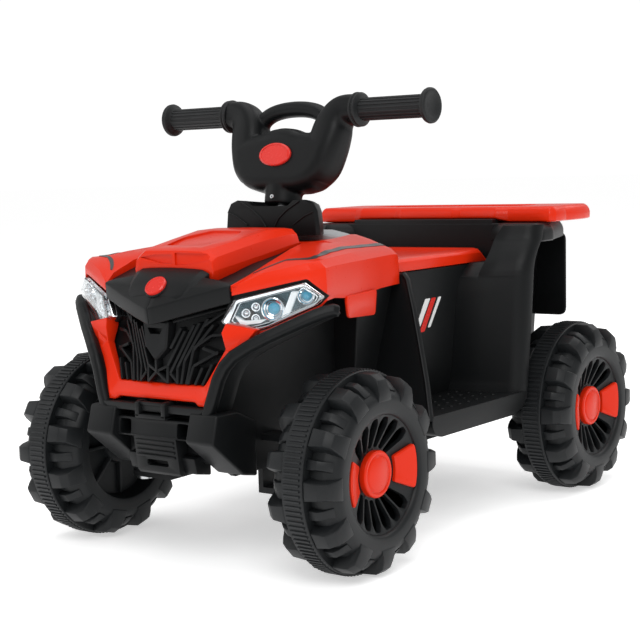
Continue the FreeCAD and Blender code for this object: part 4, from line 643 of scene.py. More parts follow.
grilleFramePlan = {  # outer (x, z) and inner (x, z) stations from the foot up, for one side
    "stations": [((0, 172), (0, 187)), ((50, 172), (50, 187)), ((55, 168.5), (54.5, 186.6)),
                 ((63.5, 168.5), (57.5, 188.5)), ((66, 173), (59, 191)), ((91, 218), (78, 223)),
                 ((102, 232), (76.4, 239)), ((110, 242), (79, 248))],
    "push": {223: -3, 239: -12, 248: -11},  # by the inner z
    "outerSet": 1.5, "ridgeSet": -0.6, "innerSet": 3.5, "depth": 10,
}


def grilleFrame(plan):
    right = plan["stations"]
    left = [((-outer[0], outer[1]), (-inner[0], inner[1])) for outer, inner in reversed(right[1:])]
    rings = []
    for outer, inner in left + right:
        ridge = [a * 0.72 + b * 0.28 for a, b in zip(outer, inner)]
        push = plan["innerSet"] + plan["push"].get(inner[1], 0)
        ring = [(outer, plan["outerSet"]), (ridge, plan["ridgeSet"]), (inner, push), (inner, plan["depth"]),
                (outer, plan["depth"])]
        rings.append([(x, frameY(z) + depth, z) for (x, z), depth in ring])
    return soften(loft("grilleFrame", rings), 1.1, 2, 25)


cover = reshape(join("frontCover", [coverShell(coverPlan), grilleFrame(grilleFramePlan)]), triangulate)
dress(cover, "redGloss", "chassis", ["front_cover"], 26)
print("stage: front cover ready")

# painted shade: a dark strip laid on the cover top where the groove along the fender ridge shows only as a
# shadow line
grooveShadePlan = {  # y, inner x, outer x
    "spots": [(-271, 93.5, 96.5), (-261, 101, 106.4), (-252, 111, 119), (-246, 124, 134),
              (-240, 133, 141.4), (-220, 131.5, 136.4), (-200, 123, 129.6), (-170, 114.8, 121),
              (-145, 107.7, 114.2), (-100, 98.3, 105), (-60, 90.5, 97), (-49, 88.6, 95)],
    "lift": 0.6, "depth": 0.8, "steps": 12, "columns": 8, "above": 400,
}
coverFaces = [face.vertices for face in cover.data.polygons]
coverTree = BVHTree.FromPolygons([spot.co for spot in cover.data.vertices], coverFaces)


def coverTop(x, y):
    hit = coverTree.ray_cast(Vector((x, y, grooveShadePlan["above"])) * unit, Vector((0, 0, -1)))
    return hit[0].z / unit


def grooveShadeStrip(plan):
    columns = plan["columns"]
    rows = []
    for y, inner, outer in curved(plan["spots"], plan["steps"]):
        across = [inner + (outer - inner) * n / columns for n in range(columns + 1)]
        rows.append([(x, y, coverTop(x, y) + plan["lift"]) for x in across])
    return mirrorX(thicken(sheet("grooveShadeStrip", rows), plan["depth"]))


# painted shade strip along the fender ridge groove
dress(grooveShadeStrip(grooveShadePlan), "paintedGrooveShade", "chassis")

scoopPlan = {  # y, then (x, z) for half the outer ring from the foot up
    "rings": [(-280, [(50.5, 288.4), (52, 296), (50, 305), (38, 314.4), (30, 315), (0, 315.4)]),
              (-274, [(53, 287), (53.8, 297), (51.5, 309), (41, 316.6), (30, 317.2), (0, 317.4)]),
              (-231, [(56, 296), (57, 304), (54.5, 317), (45, 323.6), (32, 324.6), (0, 324.8)]),
              (-190, [(59, 305.5), (59.6, 311), (56, 323), (46, 330.6), (36, 331.4), (0, 331.6)]),
              (-166, [(60.4, 312), (60.6, 315), (57, 325), (49.5, 331), (40, 331.8), (0, 332)]),
              (-154, [(60.6, 314), (60.6, 316.4), (57.6, 325), (51.6, 330.2), (42, 331.4), (0, 331.8)])],
    "windowLeft": [(-2, 302), (-2, 311.6), (-25, 311.3), (-45, 308.3), (-16, 302.5)],
    "windowRight": [(2, 301), (2, 313.4), (46, 312.6), (47, 305.5), (20, 301.4)],
    "arch": [(-47, 270), (-44, 290), (-38, 293), (-20, 294), (20, 294), (38, 293), (44, 290), (47, 270)],
    "cuts": {"windowLeft": -277.6, "windowRight": -277.6, "arch": -262}, "cutStart": -292,
    "panel": [(-26, -262), (26, -262), (33, -226), (20, -196), (-20, -196), (-33, -226)],
    "panelZ": 317.2, "panelRise": 0.172, "panelTall": 30,
}


def scoopPiece(plan):
    body = loft("scoop", [[(x, y, z) for x, z in bothSides(half)] for y, half in plan["rings"]])
    for key, end in plan["cuts"].items():
        body = cut(body, slab(key, "y", rounded(plan[key], 1.6, 3), plan["cutStart"], end))
    start = plan["panel"][0][1]
    low = [(x, y, plan["panelZ"] + (y - start) * plan["panelRise"])
           for x, y in rounded(plan["panel"], 4, 3)]
    high = [(x, y, z + plan["panelTall"]) for x, y, z in low]
    return soften(cut(body, loft("panelCut", [low, high])), 1.1, 3, 14)


dress(scoopPiece(scoopPlan), "redGloss", "chassis", ["hood_scoop"], 24)

nosePlan = {  # x, then (y, z): rear top, brow, ridge, lower band edge, low back
    "stations": [(0, [(-287, 292.4), (-306, 281), (-321, 262), (-319, 245.5), (-292, 246)]),
                 (6, [(-287, 292.4), (-305.6, 281.2), (-319.8, 262.8), (-317.6, 246.6), (-292, 247)]),
                 (24, [(-287, 292), (-303, 281.6), (-314.4, 267.6), (-312.6, 251.2), (-291, 252)]),
                 (45, [(-287, 291), (-300, 282), (-307.6, 273.2), (-306, 257), (-290, 258)]),
                 (68, [(-287.5, 288), (-296, 282.6), (-299.2, 279.6), (-297.4, 263.2), (-289, 264)]),
                 (82, [(-289, 284.6), (-292, 284), (-294, 283), (-292.6, 267), (-289, 267)])],
    "base": [(-287, 82.2, 284, 291), (-274, 88.2, 286.5, 292), (-253.5, 89.4, 292, 292.6),
             (-240, 89.6, 296, 296), (-224, 87, 300, 300), (-190, 75.4, 306, 306), (-157, 65, 312, 312),
             (-137, 61.8, 314, 314)],
    "baseTop": [(-1, 0), (-0.62, 0), (-0.52, 0.35), (-0.42, 1), (0.42, 1), (0.52, 0.35), (0.62, 0), (1, 0)],
    "baseThick": 5, "domeSkirt": 7, "domeShares": (-1, -0.7, -0.35, 0, 0.35, 0.7, 1),
    "dome": [(-282, 39.5, 48.5, 3.6), (-290, 38.6, 46, 3.8), (-298, 37.4, 42.6, 3.4), (-304, 36, 39, 2.6),
             (-308, 34, 35.6, 1.5), (-311, 30, 30.6, 0.2)],
    "seat": [(13.4, -9), (13, 0.4), (12.4, 1.2)],
}


def noseTop(x, y):
    rows = nosePlan["stations"]
    below, above = next((a, b) for a, b in zip(rows, rows[1:]) if abs(x) <= b[0])
    share = (abs(x) - below[0]) / (above[0] - below[0])
    rear, brow, ridge = [Vector(a).lerp(Vector(b), share) for a, b in zip(below[1][:3], above[1][:3])]
    return onLine(y, rear, brow) if y > brow.x else onLine(y, brow, ridge)


badgePlan = {"rings": [(1.0, 1.0), (1.0, 3.2), (0.9, 4.2), (0.82, 4.2), (0.8, 3.7)], "long": 11.9,
             "wide": 11.2, "at": (0, -305, 281.2), "lean": 45}
badgePlace = shift(*badgePlan["at"]) @ Matrix.Rotation(math.radians(badgePlan["lean"]), 4, "X")


def nosePiece(plan):
    beak = soften(loft("beak", [[(x, y, z) for y, z in ring] for x, ring in plan["stations"]]), 1.2, 3, 16)
    parts = [mirrorX(beak)]
    rings = []
    for y, half, edge, middle in plan["base"]:
        top = [(share * half, y, edge + (middle - edge) * lift) for share, lift in plan["baseTop"]]
        rings.append(top + [(x, y, z - plan["baseThick"]) for x, y, z in reversed(top)])
    parts.append(soften(loft("base", rings), 0.8))
    rings = []
    for y, top, foot, lift in plan["dome"]:
        ground, ridge = noseTop(foot, y), noseTop(0, y)
        low = ground - plan["domeSkirt"]
        crown = [(top * s, y, ridge + (ground - ridge) * s * s + lift) for s in plan["domeShares"]]
        rings.append([(-foot, y, low), (-foot, y, ground)] + crown + [(foot, y, ground), (foot, y, low)])
    parts.append(soften(loft("dome", rings), 0.7, 2, 14))
    seat = loft("badgeSeat", [[(a * r, b * r, lift) for a, b in circle(1, 0.96, 40)]
                              for r, lift in plan["seat"]])
    parts.append(moved(seat, badgePlace))
    return join("nose", parts)


dress(nosePiece(nosePlan), "blackSatin", "chassis", ["nose_cover"])


def badgePiece(name, plan):
    oval = [(a * plan["long"], b * plan["wide"]) for a, b in circle(1, 1, 48)]
    return loft(name, [[(x * s, y * s, lift) for x, y in oval] for s, lift in plan["rings"]])


noseBadge = moved(badgePiece("noseBadge", badgePlan), badgePlace)
dress(noseBadge, "badgeRed", "chassis", ["nose_badge"])
print("stage: hood ready")

grillePlan = {
    "plate": [(62, 184), (92, 222), (94, 240), (92, 268)], "nose": -311, "edge": 72, "edgeSet": 6,
    "back": 9, "bar": 2.8, "barBack": 10,
    "ribs": [((18, 248), (74, 263)), ((26, 242), (15.8, 222)), ((30, 239), (12.9, 205)),
             ((38.4, 245), (15.9, 198)), ((43.5, 247), (24, 203.6)), ((51.3, 251), (31.4, 210.6)),
             ((57.3, 245), (40.2, 221)), ((66.9, 258), (47, 243)), ((40.2, 222), (34.8, 188)),
             ((40, 222.8), (57, 235)), ((57, 235), (70, 236)), ((49.2, 223), (66, 217.6)),
             ((41.5, 205.8), (66, 219.5)), ((41.5, 205.8), (36.9, 188)), ((51.5, 204.4), (45, 188)),
             ((61.5, 208), (53.5, 188)), ((24, 203.6), (24.4, 188)), ((12.9, 205), (12.8, 188)),
             ((15.9, 198), (25, 189)), ((0, 199.3), (12.9, 205)), ((0, 199.3), (12.8, 189)),
             ((31.4, 210.6), (29, 188))],
    "post": ((0, 211), (0, 198)), "postSet": -0.5,
    "shield": [(-17, 249), (17, 249), (13.5, 222), (1.5, 210.5), (-1.5, 210.5), (-13.5, 222)],
    "shieldLayers": [(0, 10), (0, 0.4), (1.6, -1.4)], "shieldZ": 230, "shieldReach": 16,
    "shieldSlope": 0.14, "slot": [(-10, 242), (10, 242), (6.5, 236), (-6.5, 236)], "slotY": (-6, 8),
}


def grilleY(x, z):
    share = min(abs(x) / grillePlan["edge"], 1)
    return grillePlan["nose"] * (1 - share) + (frameY(z) + grillePlan["edgeSet"]) * share


def faceBar(name, start, end, front):
    start, end = Vector(start), Vector(end)
    run = end - start
    side = Vector((-run.y, run.x)).normalized() * grillePlan["bar"] / 2
    rings = []
    for depth in (front, grillePlan["barBack"]):
        spots = (start + side, end + side, end - side, start - side)
        rings.append([(spot.x, grilleY(spot.x, spot.y) + depth, spot.y) for spot in spots])
    return soften(loft(name, rings), 0.5, 2)


def grillePiece(plan):
    nose, middle = plan["nose"], plan["shieldZ"]
    rows = []
    for share in (1, 0.66, 0.33, 0):
        rows.append([(x * share, grilleY(x * share, z) + plan["back"], z) for x, z in plan["plate"]])
    parts = [mirrorX(thicken(sheet("plate", rows), 2.5))]
    for (x0, z0), (x1, z1) in plan["ribs"]:
        for side in (-1, 1):
            parts.append(faceBar("bar", (x0 * side, z0), (x1 * side, z1), 0))
    parts.append(faceBar("post", *plan["post"], plan["postSet"]))
    rings = []
    for inset, depth in plan["shieldLayers"]:
        share = 1 - inset / plan["shieldReach"]
        ring = []
        for x, z in rounded(plan["shield"], 3, 3):
            ring.append((x * share, nose + depth + abs(x) * plan["shieldSlope"],
                         middle + (z - middle) * share))
        rings.append(ring)
    near, far = plan["slotY"]
    slot = slab("slot", "y", rounded(plan["slot"], 1.2, 3), nose + near, nose + far)
    parts.append(cut(loft("shield", rings), slot))
    return join("grille", parts)


dress(grillePiece(grillePlan), "blackSatin", "chassis", ["grille"])


def lampRing(name, outer, inner, near, far):
    ring = lightPrism(name, lightOutline(*outer), near, far)
    return cut(ring, lightPrism(name + "Pocket", lightOutline(*inner), 4, far - 4))


def lampSpin(key, radius, place, steps, loop):
    return moved(spin(key, [(x, r * radius) for x, r in lightPlan[key]], steps, loop), place)


def lampParts(plan):
    floor = -plan["floor"]
    rings = []
    for grow, depth in plan["lens"]:
        rings.append([onLight(a, b, depth) for a, b in lightOutline("outline", grow)])
    lens = loft("lens", rings)
    bezel = lampRing("lampBezel", ("outline", -0.6), ("rim",), -0.6, -plan["depth"])
    step = lampRing("lampStep", ("rim", -1.5), ("rim", -2.7), -3, floor - 1)
    seat = lampRing("lampSeat", ("gap", 0.2), ("outline", -0.8), -5.4, -9)
    chrome = [soften(bezel, 0.5, 2, 40), soften(step, 0.3, 2, 40)]
    glow = []
    turn = Matrix.Rotation(math.atan2(lightOut.y, lightOut.x), 4, "Z")
    for share, rise, radius in plan["bowls"]:
        place = Matrix.Translation(onLight(share, rise, floor) * unit) @ turn
        chrome.append(lampSpin("bowl", radius, place, 64, True))
        glow.append(lampSpin("bulb", radius, place, 40, False))
    for share, rise, radius in plan["domes"]:
        place = Matrix.Translation(onLight(share, rise, floor + 2) * unit) @ turn
        chrome.append(lampSpin("cup", radius, place, 40, True))
        chrome.append(lampSpin("bead", radius, place, 32, False))
    bars = []
    for key in ("bar", "sill"):
        bars.append(soften(lightPrism("lampBar", rounded(plan[key], 0.015, 3), -4, floor - 1), 0.5))
    back = lightPrism("lampBack", lightOutline("rim", 0.6), floor, floor - 4)
    pieces = [lens, join("lampShell", chrome), join("lampGlow", glow), join("lampBars", bars), back, seat]
    return [mirrorX(piece) for piece in pieces]


lampLens, lampShell, lampGlow, lampBars, lampBack, lampSeat = lampParts(lightPlan)
dress(lampLens, "clearLens", "chassis", ["headlight_lenses"])
dress(lampShell, "chrome", "chassis", ["headlight_reflectors"])
dress(lampGlow, "lampGlow", "chassis", ["headlight_bulbs"])
# lamp bars: white, with a painted glow standing in for reflections
dress(lampBars, "lampWhitePaintedGlow", "chassis")
dress(lampBack, "smokedChrome", "chassis")
dress(lampSeat, "blackSatin", "chassis")
print("stage: grille and lamps ready")

bumperPlan = {
    "block": [(-320, 163), (-328, 136), (-326, 134), (-283, 99), (-262, 95), (-262, 150), (-290, 163)],
    "blockX": (49, 84),
    "side": [(-310, 116), (-306, 100), (-285, 96), (-285, 120)], "sideX": (26, 44),
    "bar": [(-317, 153), (-318.5, 136), (-316, 134), (-304, 134), (-304, 153)], "barX": (-52, 52),
    "holes": (-38, 38), "holeZ": 143.5, "holeHalf": 7.5, "holeY": (-330, -296),
    "skid": [(-318, 137), (-313, 100), (-310, 97), (-292, 97), (-292, 137)], "skidX": (-28, 28),
    "slot": [(-14, 112), (14, 112), (14, 106), (-14, 106)], "slotY": (-330, -304),
    "skidRibs": [131, 126, 121, 116], "ribHalf": 1.1, "ribY": (-1.6, 4), "ribX": (-25, 25),
    "lip": [(-70, 167.5), (70, 167.5), (58, 160), (-58, 160)], "lipY": (-319, -300),
}


def bumperPiece(plan):
    parts = []
    for side in (-1, 1):
        for key, radius, segments in (("block", 2.6, 3), ("side", 1.6, 2)):
            near, far = plan[key + "X"]
            parts.append(soften(slab(key, "x", plan[key], side * near, side * far), radius, segments))
    bar = slab("bar", "x", plan["bar"], *plan["barX"])
    low, high = plan["holeZ"] - plan["holeHalf"], plan["holeZ"] + plan["holeHalf"]
    for x in plan["holes"]:
        left, right = x - plan["holeHalf"], x + plan["holeHalf"]
        hole = rounded([(left, low), (right, low), (right, high), (left, high)], 3, 3)
        bar = cut(bar, slab("hole", "y", hole, *plan["holeY"]))
    parts.append(soften(bar, 1.4, 2))
    skid = slab("skid", "x", plan["skid"], *plan["skidX"])
    slot = slab("slot", "y", rounded(plan["slot"], 2, 3), *plan["slotY"])
    parts.append(soften(cut(skid, slot), 1.6, 2))
    slope = [(z, y) for y, z in plan["skid"][:2]]
    for z in plan["skidRibs"]:
        front, back = [onLine(z, *slope) + reach for reach in plan["ribY"]]
        low, high = z - plan["ribHalf"], z + plan["ribHalf"]
        rib = slab("skidRib", "x", [(front, low), (front, high), (back, high), (back, low)], *plan["ribX"])
        parts.append(soften(rib, 0.5, 2))
    parts.append(soften(slab("lip", "y", plan["lip"], *plan["lipY"]), 1.2, 2))
    return join("bumper", parts)


dress(bumperPiece(bumperPlan), "blackSatin", "chassis", ["front_bumper"])

winchPlan = {
    "base": [(-20, 154), (20, 154), (20, 158), (-20, 158)], "baseY": (-323, -303),
    "cheek": [(-323, 155), (-323, 169), (-319, 171), (-307, 171), (-303, 166), (-303, 155)],
    "cheekX": [(-20, -14.5), (14.5, 20)],
    "tie": [(-320.6, 170), (-316, 170), (-316, 167), (-320.6, 167)], "tieX": (-15, 15),
    "drumHalf": 14.5, "drumRadius": 4.6, "drumAt": (0, -312.5, 164), "flange": 1.6, "turns": 12,
}


def winchPiece(plan):
    parts = [soften(slab("winchBase", "y", plan["base"], *plan["baseY"]), 0.8, 2)]
    for low, high in plan["cheekX"]:
        parts.append(soften(slab("cheek", "x", plan["cheek"], low, high), 1.0, 2))
    half, radius = plan["drumHalf"], plan["drumRadius"]
    rim = radius + plan["flange"]
    profile = [(-half, 0), (-half, rim), (2 - half, rim), (2.2 - half, radius)]
    gap = 3.2  # from the end of the drum to the first turn
    for n in range(plan["turns"]):
        at = gap - half + n * (half - gap) * 2 / (plan["turns"] - 1)
        profile += [(at - 0.8, radius - 0.1), (at, radius + 0.7), (at + 0.8, radius - 0.1)]
    profile += [(half - 2.2, radius), (half - 2, rim), (half, rim), (half, 0)]
    parts.append(moved(spin("drum", profile, 40, False), shift(*plan["drumAt"])))
    parts.append(soften(slab("tie", "x", plan["tie"], *plan["tieX"]), 0.6, 2))
    return join("winch", parts)


dress(winchPiece(winchPlan), "blackSatin", "chassis", ["winch"])

guardPlan = {
    "path": [(67, -313, 160), (72, -312, 174), (79, -309.5, 196), (85, -307, 208), (93, -303, 217.6),
             (106, -294, 227), (120, -284, 235), (138, -270, 244.6), (152, -259, 252), (162, -250, 256.6),
             (168, -244, 258.4), (170, -241, 257)],
    "section": [(-5, 5), (-2.5, 6.6), (3, 6.6), (5.4, 4.6), (6.4, 0), (5.4, -4.6), (2, -6.6), (-3, -6.6),
                (-6.4, -3), (-6.4, 2)],
    "skirt": 26, "skirtEnd": 6,  # depth, and the stations over which it runs out
}


def guardPiece(plan):
    lip = sweep("guardLip", plan["path"], plan["section"], (0.2, -1, 0.3))
    rows = []
    for n, (x, y, z) in enumerate(plan["path"]):
        deep = plan["skirt"] * min(1, (len(plan["path"]) - n) / plan["skirtEnd"])
        rows.append([(x, y - 2, z), (x + 1, y + deep * 0.3, z - 1), (x + 1.5, y + deep * 0.7, z - 1.5),
                     (x + 1, y + deep, z - 2)])
    skirt = thicken(sheet("guardSkirt", rows), 4)
    return mirrorX(join("guardHalf", [melt(lip, 1.0, 6), soften(skirt, 1, 2)]))


dress(guardPiece(guardPlan), "blackSatin", "chassis", ["fender_guards"], 40)
print("stage: bumper ready")

barPlan = {
    "head": (0, -99, 369), "rake": 14,
    "outline": [(0, -3), (28, -3), (44, 1), (56, 11), (64.5, 27), (68, 40), (66, 49), (52, 56), (34, 60),
                (26, 60.5), (16, 64.6), (0, 66.5)],
    "arm": [(88, 85.5, 15, 15.5), (74, 85.5, 15.4, 16), (65, 82, 16.5, 16.8), (58.5, 73, 18, 18.4),
            (55.4, 62, 19.8, 20), (52.4, 45, 19.4, 21.6), (48, 25, 17, 21.6), (42, 12, 13, 18)],
    "layers": [(-1, 12), (-0.95, 7.6), (-0.84, 3.6), (-0.64, 1), (-0.36, 0), (0.36, 0), (0.64, 1),
               (0.84, 3.6), (0.95, 7.6), (1, 12)],
    "depth": 22,
    "neck": [(-17, 0), (-17, 19), (-15.6, 20), (2, 20.4), (10, 22), (10, 0)],
    "loop": [(-47, 66), (-42, 78), (-31, 85.4), (-16, 89), (0, 90), (16, 89), (31, 85.4), (42, 78),
             (47, 66)],
    "loopHalf": (8.8, 9.6), "loopBack": 3,
    "screw": [(-3, 0), (-3, 2.5), (0.2, 2.5), (0.8, 2.1), (0.9, 0.9), (-0.4, 0.8), (-0.4, 0)],
    "screwAt": (0, -19.8, -11),
}
gripPlan = {
    "start": 84, "end": 179, "axis": 85, "radius": 11.2, "ribs": 18, "ribX": (93, 170),
    "inner": [(0, 0), (0, 17), (1, 18.4), (2.6, 18.4), (3.4, 16.6), (4.4, 16.6), (5.2, 18), (6.8, 18),
              (8, 15.5)],
    "outer": [(-7.4, 14.6), (-6, 17.6), (-4, 18.4), (-1.6, 18.2), (0, 16.4), (-0.6, 12), (-2, 9),
              (-2.2, 0)],
    "rib": [(-1.1, -0.8), (1.1, -0.8), (0.8, 0.9), (-0.8, 0.9)],
}
barPlace = shift(*barPlan["head"]) @ Matrix.Rotation(math.radians(-barPlan["rake"]), 4, "X")


def inwards(outline, distance):
    spots = [Vector(spot) for spot in outline]
    result = []
    for n, here in enumerate(spots):
        run = (spots[(n + 1) % len(spots)] - spots[n - 1]).normalized()
        result.append(tuple(here + Vector((-run.y, run.x)) * distance))
    return result


def plump(steps):
    fullness = 0.72  # 1 is an ellipse
    return [[math.copysign(abs(part) ** fullness, part) for part in spot] for spot in circle(1, 1, steps)]


def armPiece(stations):
    stations = curved(stations, 4)
    rings = []
    for n, (x, z, wide, deep) in enumerate(stations):
        after, before = stations[min(n + 1, len(stations) - 1)], stations[max(n - 1, 0)]
        run = (Vector(after[:2]) - Vector(before[:2])).normalized()
        rings.append([(x - run.y * a * wide, b * deep, z + run.x * a * wide) for a, b in plump(36)])
    return mirrorX(loft("arm", rings))


def barPiece(plan):
    outline = rounded(bothSides(plan["outline"]), 5, 3)
    rings = [[(x, share * plan["depth"], z) for x, z in inwards(outline, inset)]
             for share, inset in plan["layers"]]
    body = loft("barBody", rings)
    path = curved([(x, plan["loopBack"], z) for x, z in plan["loop"]], 4)
    loop = sweep("barLoop", path, circle(*plan["loopHalf"], 20), (0, 1, 0))
    neck = moved(spin("barNeck", plan["neck"], 48, False), Matrix.Rotation(-math.pi / 2, 4, "Y"))
    return moved(melt(join("bar", [body, armPiece(plan["arm"]), loop, neck]), 1.2, 12), barPlace)


barShells = ["handlebar_front", "handlebar_rear"]
dress(barPiece(barPlan), "blackSatin", "steering", barShells, 60)
screwTurn = Matrix.Rotation(-math.pi / 2, 4, "Z")
neckScrew = moved(spin("neckScrew", barPlan["screw"], 32, False),
                  barPlace @ shift(*barPlan["screwAt"]) @ screwTurn)
dress(neckScrew, "steel", "steering")


def gripPiece(plan):
    start, end, radius = plan["start"], plan["end"], plan["radius"]
    profile = [(start + x, r) for x, r in plan["inner"]] + [(x, radius) for x in plan["ribX"]]
    profile += [(end + x, r) for x, r in plan["outer"]]
    shell = soften(spin("gripShell", profile, 72, False), 0.3, 2, 40)
    rib = slab("gripRib", "x", rounded([(x, radius + lift) for x, lift in plan["rib"]], 0.4, 2),
               *plan["ribX"])
    half = join("gripHalf", [shell, ringOf(rib, plan["ribs"], "gripRubber")])
    return moved(mirrorX(moved(half, shift(0, 0, plan["axis"]))), barPlace)


dress(gripPiece(gripPlan), "gripRubber", "steering", ["grips"])
barBadgePlan = {"rings": [(1.0, -2), (1.0, 1.6), (0.92, 2.6), (0.84, 2.6), (0.82, 2.0)], "long": 21,
                "wide": 12.5, "at": (0, -22.6, 34)}
barBadgePlace = barPlace @ shift(*barBadgePlan["at"]) @ Matrix.Rotation(math.pi / 2, 4, "X")
barBadge = moved(badgePiece("barBadge", barBadgePlan), barBadgePlace)
dress(barBadge, "badgeRed", "steering", ["handlebar_badge"])

cowlPlan = {
    "front": [(0, 353), (25, 353.4), (33, 359), (46, 359.6), (55.6, 356), (60.4, 348), (62.6, 331),
              (62.6, 322), (0, 321)],
    "frontY": -126, "stations": [(0.965, -125.4), (1, -121), (0.92, -110), (0.78, -96), (0.66, -86)],
    "foot": 321, "fall": 0.0025, "creaseY": -125.2,
    "bore": [(-60, 0), (-60, 12), (-19.5, 12), (-19.5, 22.5), (40, 22.5), (40, 0)],
    "creases": [[(6, 331), (12, 340), (22, 348), (31, 353), (40, 358)],
                [(31, 333), (46, 342), (58, 346.6)]],
}


def cowlPiece(plan):
    foot = plan["foot"]
    rings = []
    for share, y in plan["stations"]:
        tall = 1 - (y - plan["frontY"]) * plan["fall"]
        rings.append([(x * share, y, foot + (z - foot) * tall) for x, z in bothSides(plan["front"])])
    bore = moved(spin("cowlBore", plan["bore"], 48, False),
                 barPlace @ Matrix.Rotation(-math.pi / 2, 4, "Y"))
    parts = [soften(cut(loft("cowl", rings), bore), 1.8, 3, 24)]
    for crease in plan["creases"]:
        for side in (-1, 1):
            path = [(side * x, plan["creaseY"], z) for x, z in crease]
            parts.append(sweep("cowlRib", path, circle(1.0, 1.5, 10), (0, 1, 0)))
    return join("cowl", parts)


dress(cowlPiece(cowlPlan), "blackSatin", "chassis", ["steering_cowl"])

dashPlan = {  # x, top z, front y, rear y
    "stations": [(60, 315.6, -64, -54), (56, 317.6, -70, -50), (48, 319.6, -77, -47),
                 (38, 321.4, -83, -45.6), (28, 323.4, -86, -45.2), (24, 324, -86.4, -45.2),
                 (0, 324, -86.4, -45.2)],
    "foot": 312, "wells": (-15, 15), "wellHalf": 6.2, "wellReach": 8.9,
}


def dashPiece(plan):
    foot, half, reach = plan["foot"], plan["wellHalf"], plan["wellReach"]
    rings = []
    for x, top, front, rear in plan["stations"]:
        ring = [(front, foot), (front, top - 1.6), (front + 2, top), (rear - 2, top), (rear, top - 1.6),
                (rear, foot)]
        rings.append([(x, y, z) for y, z in ring])
    panel = reshape(mirrorX(loft("dash", rings, capped=False)), weldShape)
    low, high = boxOf("dash_panel")
    near, far = (low.y + high.y) / 2 - reach, (low.y + high.y) / 2 + reach
    for x in plan["wells"]:
        well = [(x - half, near), (x + half, near), (x + half, far), (x - half, far)]
        panel = cut(panel, slab("well", "z", well, foot - 2, high.z + 6))
    return soften(panel, 0.7, 2, 25)


dress(dashPiece(dashPlan), "greySatin", "chassis", ["dash_panel"])
print("stage: handlebar ready")

tubPlan = {
    "core": [(84, 84), (100, 276)], "coreY": (-106, 283), "wall": 4, "coreOpen": 8,
    "hole": [(-66, -14), (66, -14), (66, 134), (-66, 134)], "holeZ": (250, 290),
    "skirt": [(-79, 131), (-80, 121), (-75, 112), (-63, 107.5), (90, 107.5), (108, 112), (118, 121),
              (122, 131)],
    "skirtX": (82, 170),
    "shield": [(84, 126), (169, 126), (158, 164), (143.4, 205), (130, 241), (118, 270), (112, 276),
               (84, 276)],
    "shieldWall": 5, "shieldBead": (2.4, 3.8), "shieldLean": [(129, -80), (276, -40)],  # (z, y) of its face
    "edge": 170, "edgeRound": 15,  # pillar and panel rows are (z, inner x, inner y, outer y)
    "pillar": [(122, 86, 80, 120.5), (136, 87.6, 84, 123), (150, 89.4, 87, 125.5),
               (199.5, 93.6, 88.6, 133), (222, 95.4, 89.4, 136), (240, 97, 90.8, 138.4),
               (250, 97.8, 92.6, 139.6), (262, 98.6, 96.4, 141)],
    "panel": [(262.4, 118, 104.4, 141), (266, 118.6, 105.8, 141.6), (270, 119.6, 107.8, 142.4),
              (279, 122, 113.4, 145.3), (289, 124, 120.6, 151), (297, 124.8, 126, 157.5),
              (305, 125.8, 131, 163.7), (319, 133, 138, 168)],
    "back": 172, "pillarBack": 14, "pillarTop": 262.2, "returnLip": [(0, 0), (4.5, 0), (6, 9), (13, 12)],
    "ledge": [(96, 95, 263), (118, 103.4, 262), (123, 115.4, 278), (96, 115, 277), (126, 170, 278),
              (96, 170, 277)],
    "ledgeFaces": [(0, 1, 2, 3), (3, 2, 4, 5), (6, 9, 8, 7), (9, 11, 10, 8), (0, 6, 7, 1), (1, 7, 8, 2),
                   (2, 8, 10, 4), (4, 10, 11, 5), (5, 11, 9, 3), (3, 9, 6, 0)], "ledgeThick": 8,
    "deck": [(124, 146), (150, 147.4), (162, 152.6), (170, 164), (170, 192), (163.4, 203), (136.4, 281.6),
             (96, 281.6), (96, 170)],
    "deckLayers": [(1.5, 299), (0, 300.5), (0, 308), (1.4, 313), (4, 317), (9, 320)],
    "rest": [(-128, 168), (128, 168), (128, 174), (-128, 174)], "restZ": (262, 320),
    "restTop": [(-100, 168.4), (100, 168.4), (100, 182), (-100, 182)], "restTopZ": (300, 324.8),
    "shelf": [(-100, 170), (100, 170), (100, 282.4), (-100, 282.4)], "shelfZ": (270, 319),
    "rear": [(-137, 201), (137, 201), (138, 304), (-138, 304)], "rearY": (280, 284),
    "tread": {"rows": 7, "columns": 4, "width": 48, "depth": 108, "at": (126, 24, 131), "radius": 2.3,
              "layers": [(1, -1), (1, 0.3), (0.8, 0.9), (0.45, 1.2)]},
}


def shieldY(z):
    return onLine(z, *tubPlan["shieldLean"])


def panelLoft(plan):
    edge, radius = plan["edge"], plan["edgeRound"]
    rings = []
    for z, innerX, innerY, outerY in curved(plan["pillar"], 4) + curved(plan["panel"], 4):
        corner, inner = Vector((edge, outerY - radius)), Vector((innerX, innerY))
        away = (inner - corner).normalized()
        start = corner + away * radius
        ring = [tuple(inner), tuple(inner.lerp(start, 0.5)), tuple(start + away)]
        ring += bend(start, corner, Vector((edge, outerY - 1)), 8)
        rear = plan["back"] if z > plan["pillarTop"] else innerY + plan["pillarBack"]
        ring += [(edge - inset, outerY - deep) for inset, deep in plan["returnLip"]]
        ring += [(innerX + 6, innerY + 9), (innerX + 6, rear), (innerX, rear)]
        rings.append([(x, y, z) for x, y in ring])
    return loft("panel", rings)


def treadPiece(plan):
    dots = circle(plan["radius"], plan["radius"], 16)
    dome = loft("dome", [[(x * s, y * s, z) for x, y in dots] for s, z in plan["layers"]])
    values = {"Rows": plan["rows"], "Columns": plan["columns"], "Width": plan["width"] * unit,
              "Depth": plan["depth"] * unit, "Finish": finishes["blackSatin"]}
    return moved(spread(dome, gridTree, values), shift(*plan["at"]))


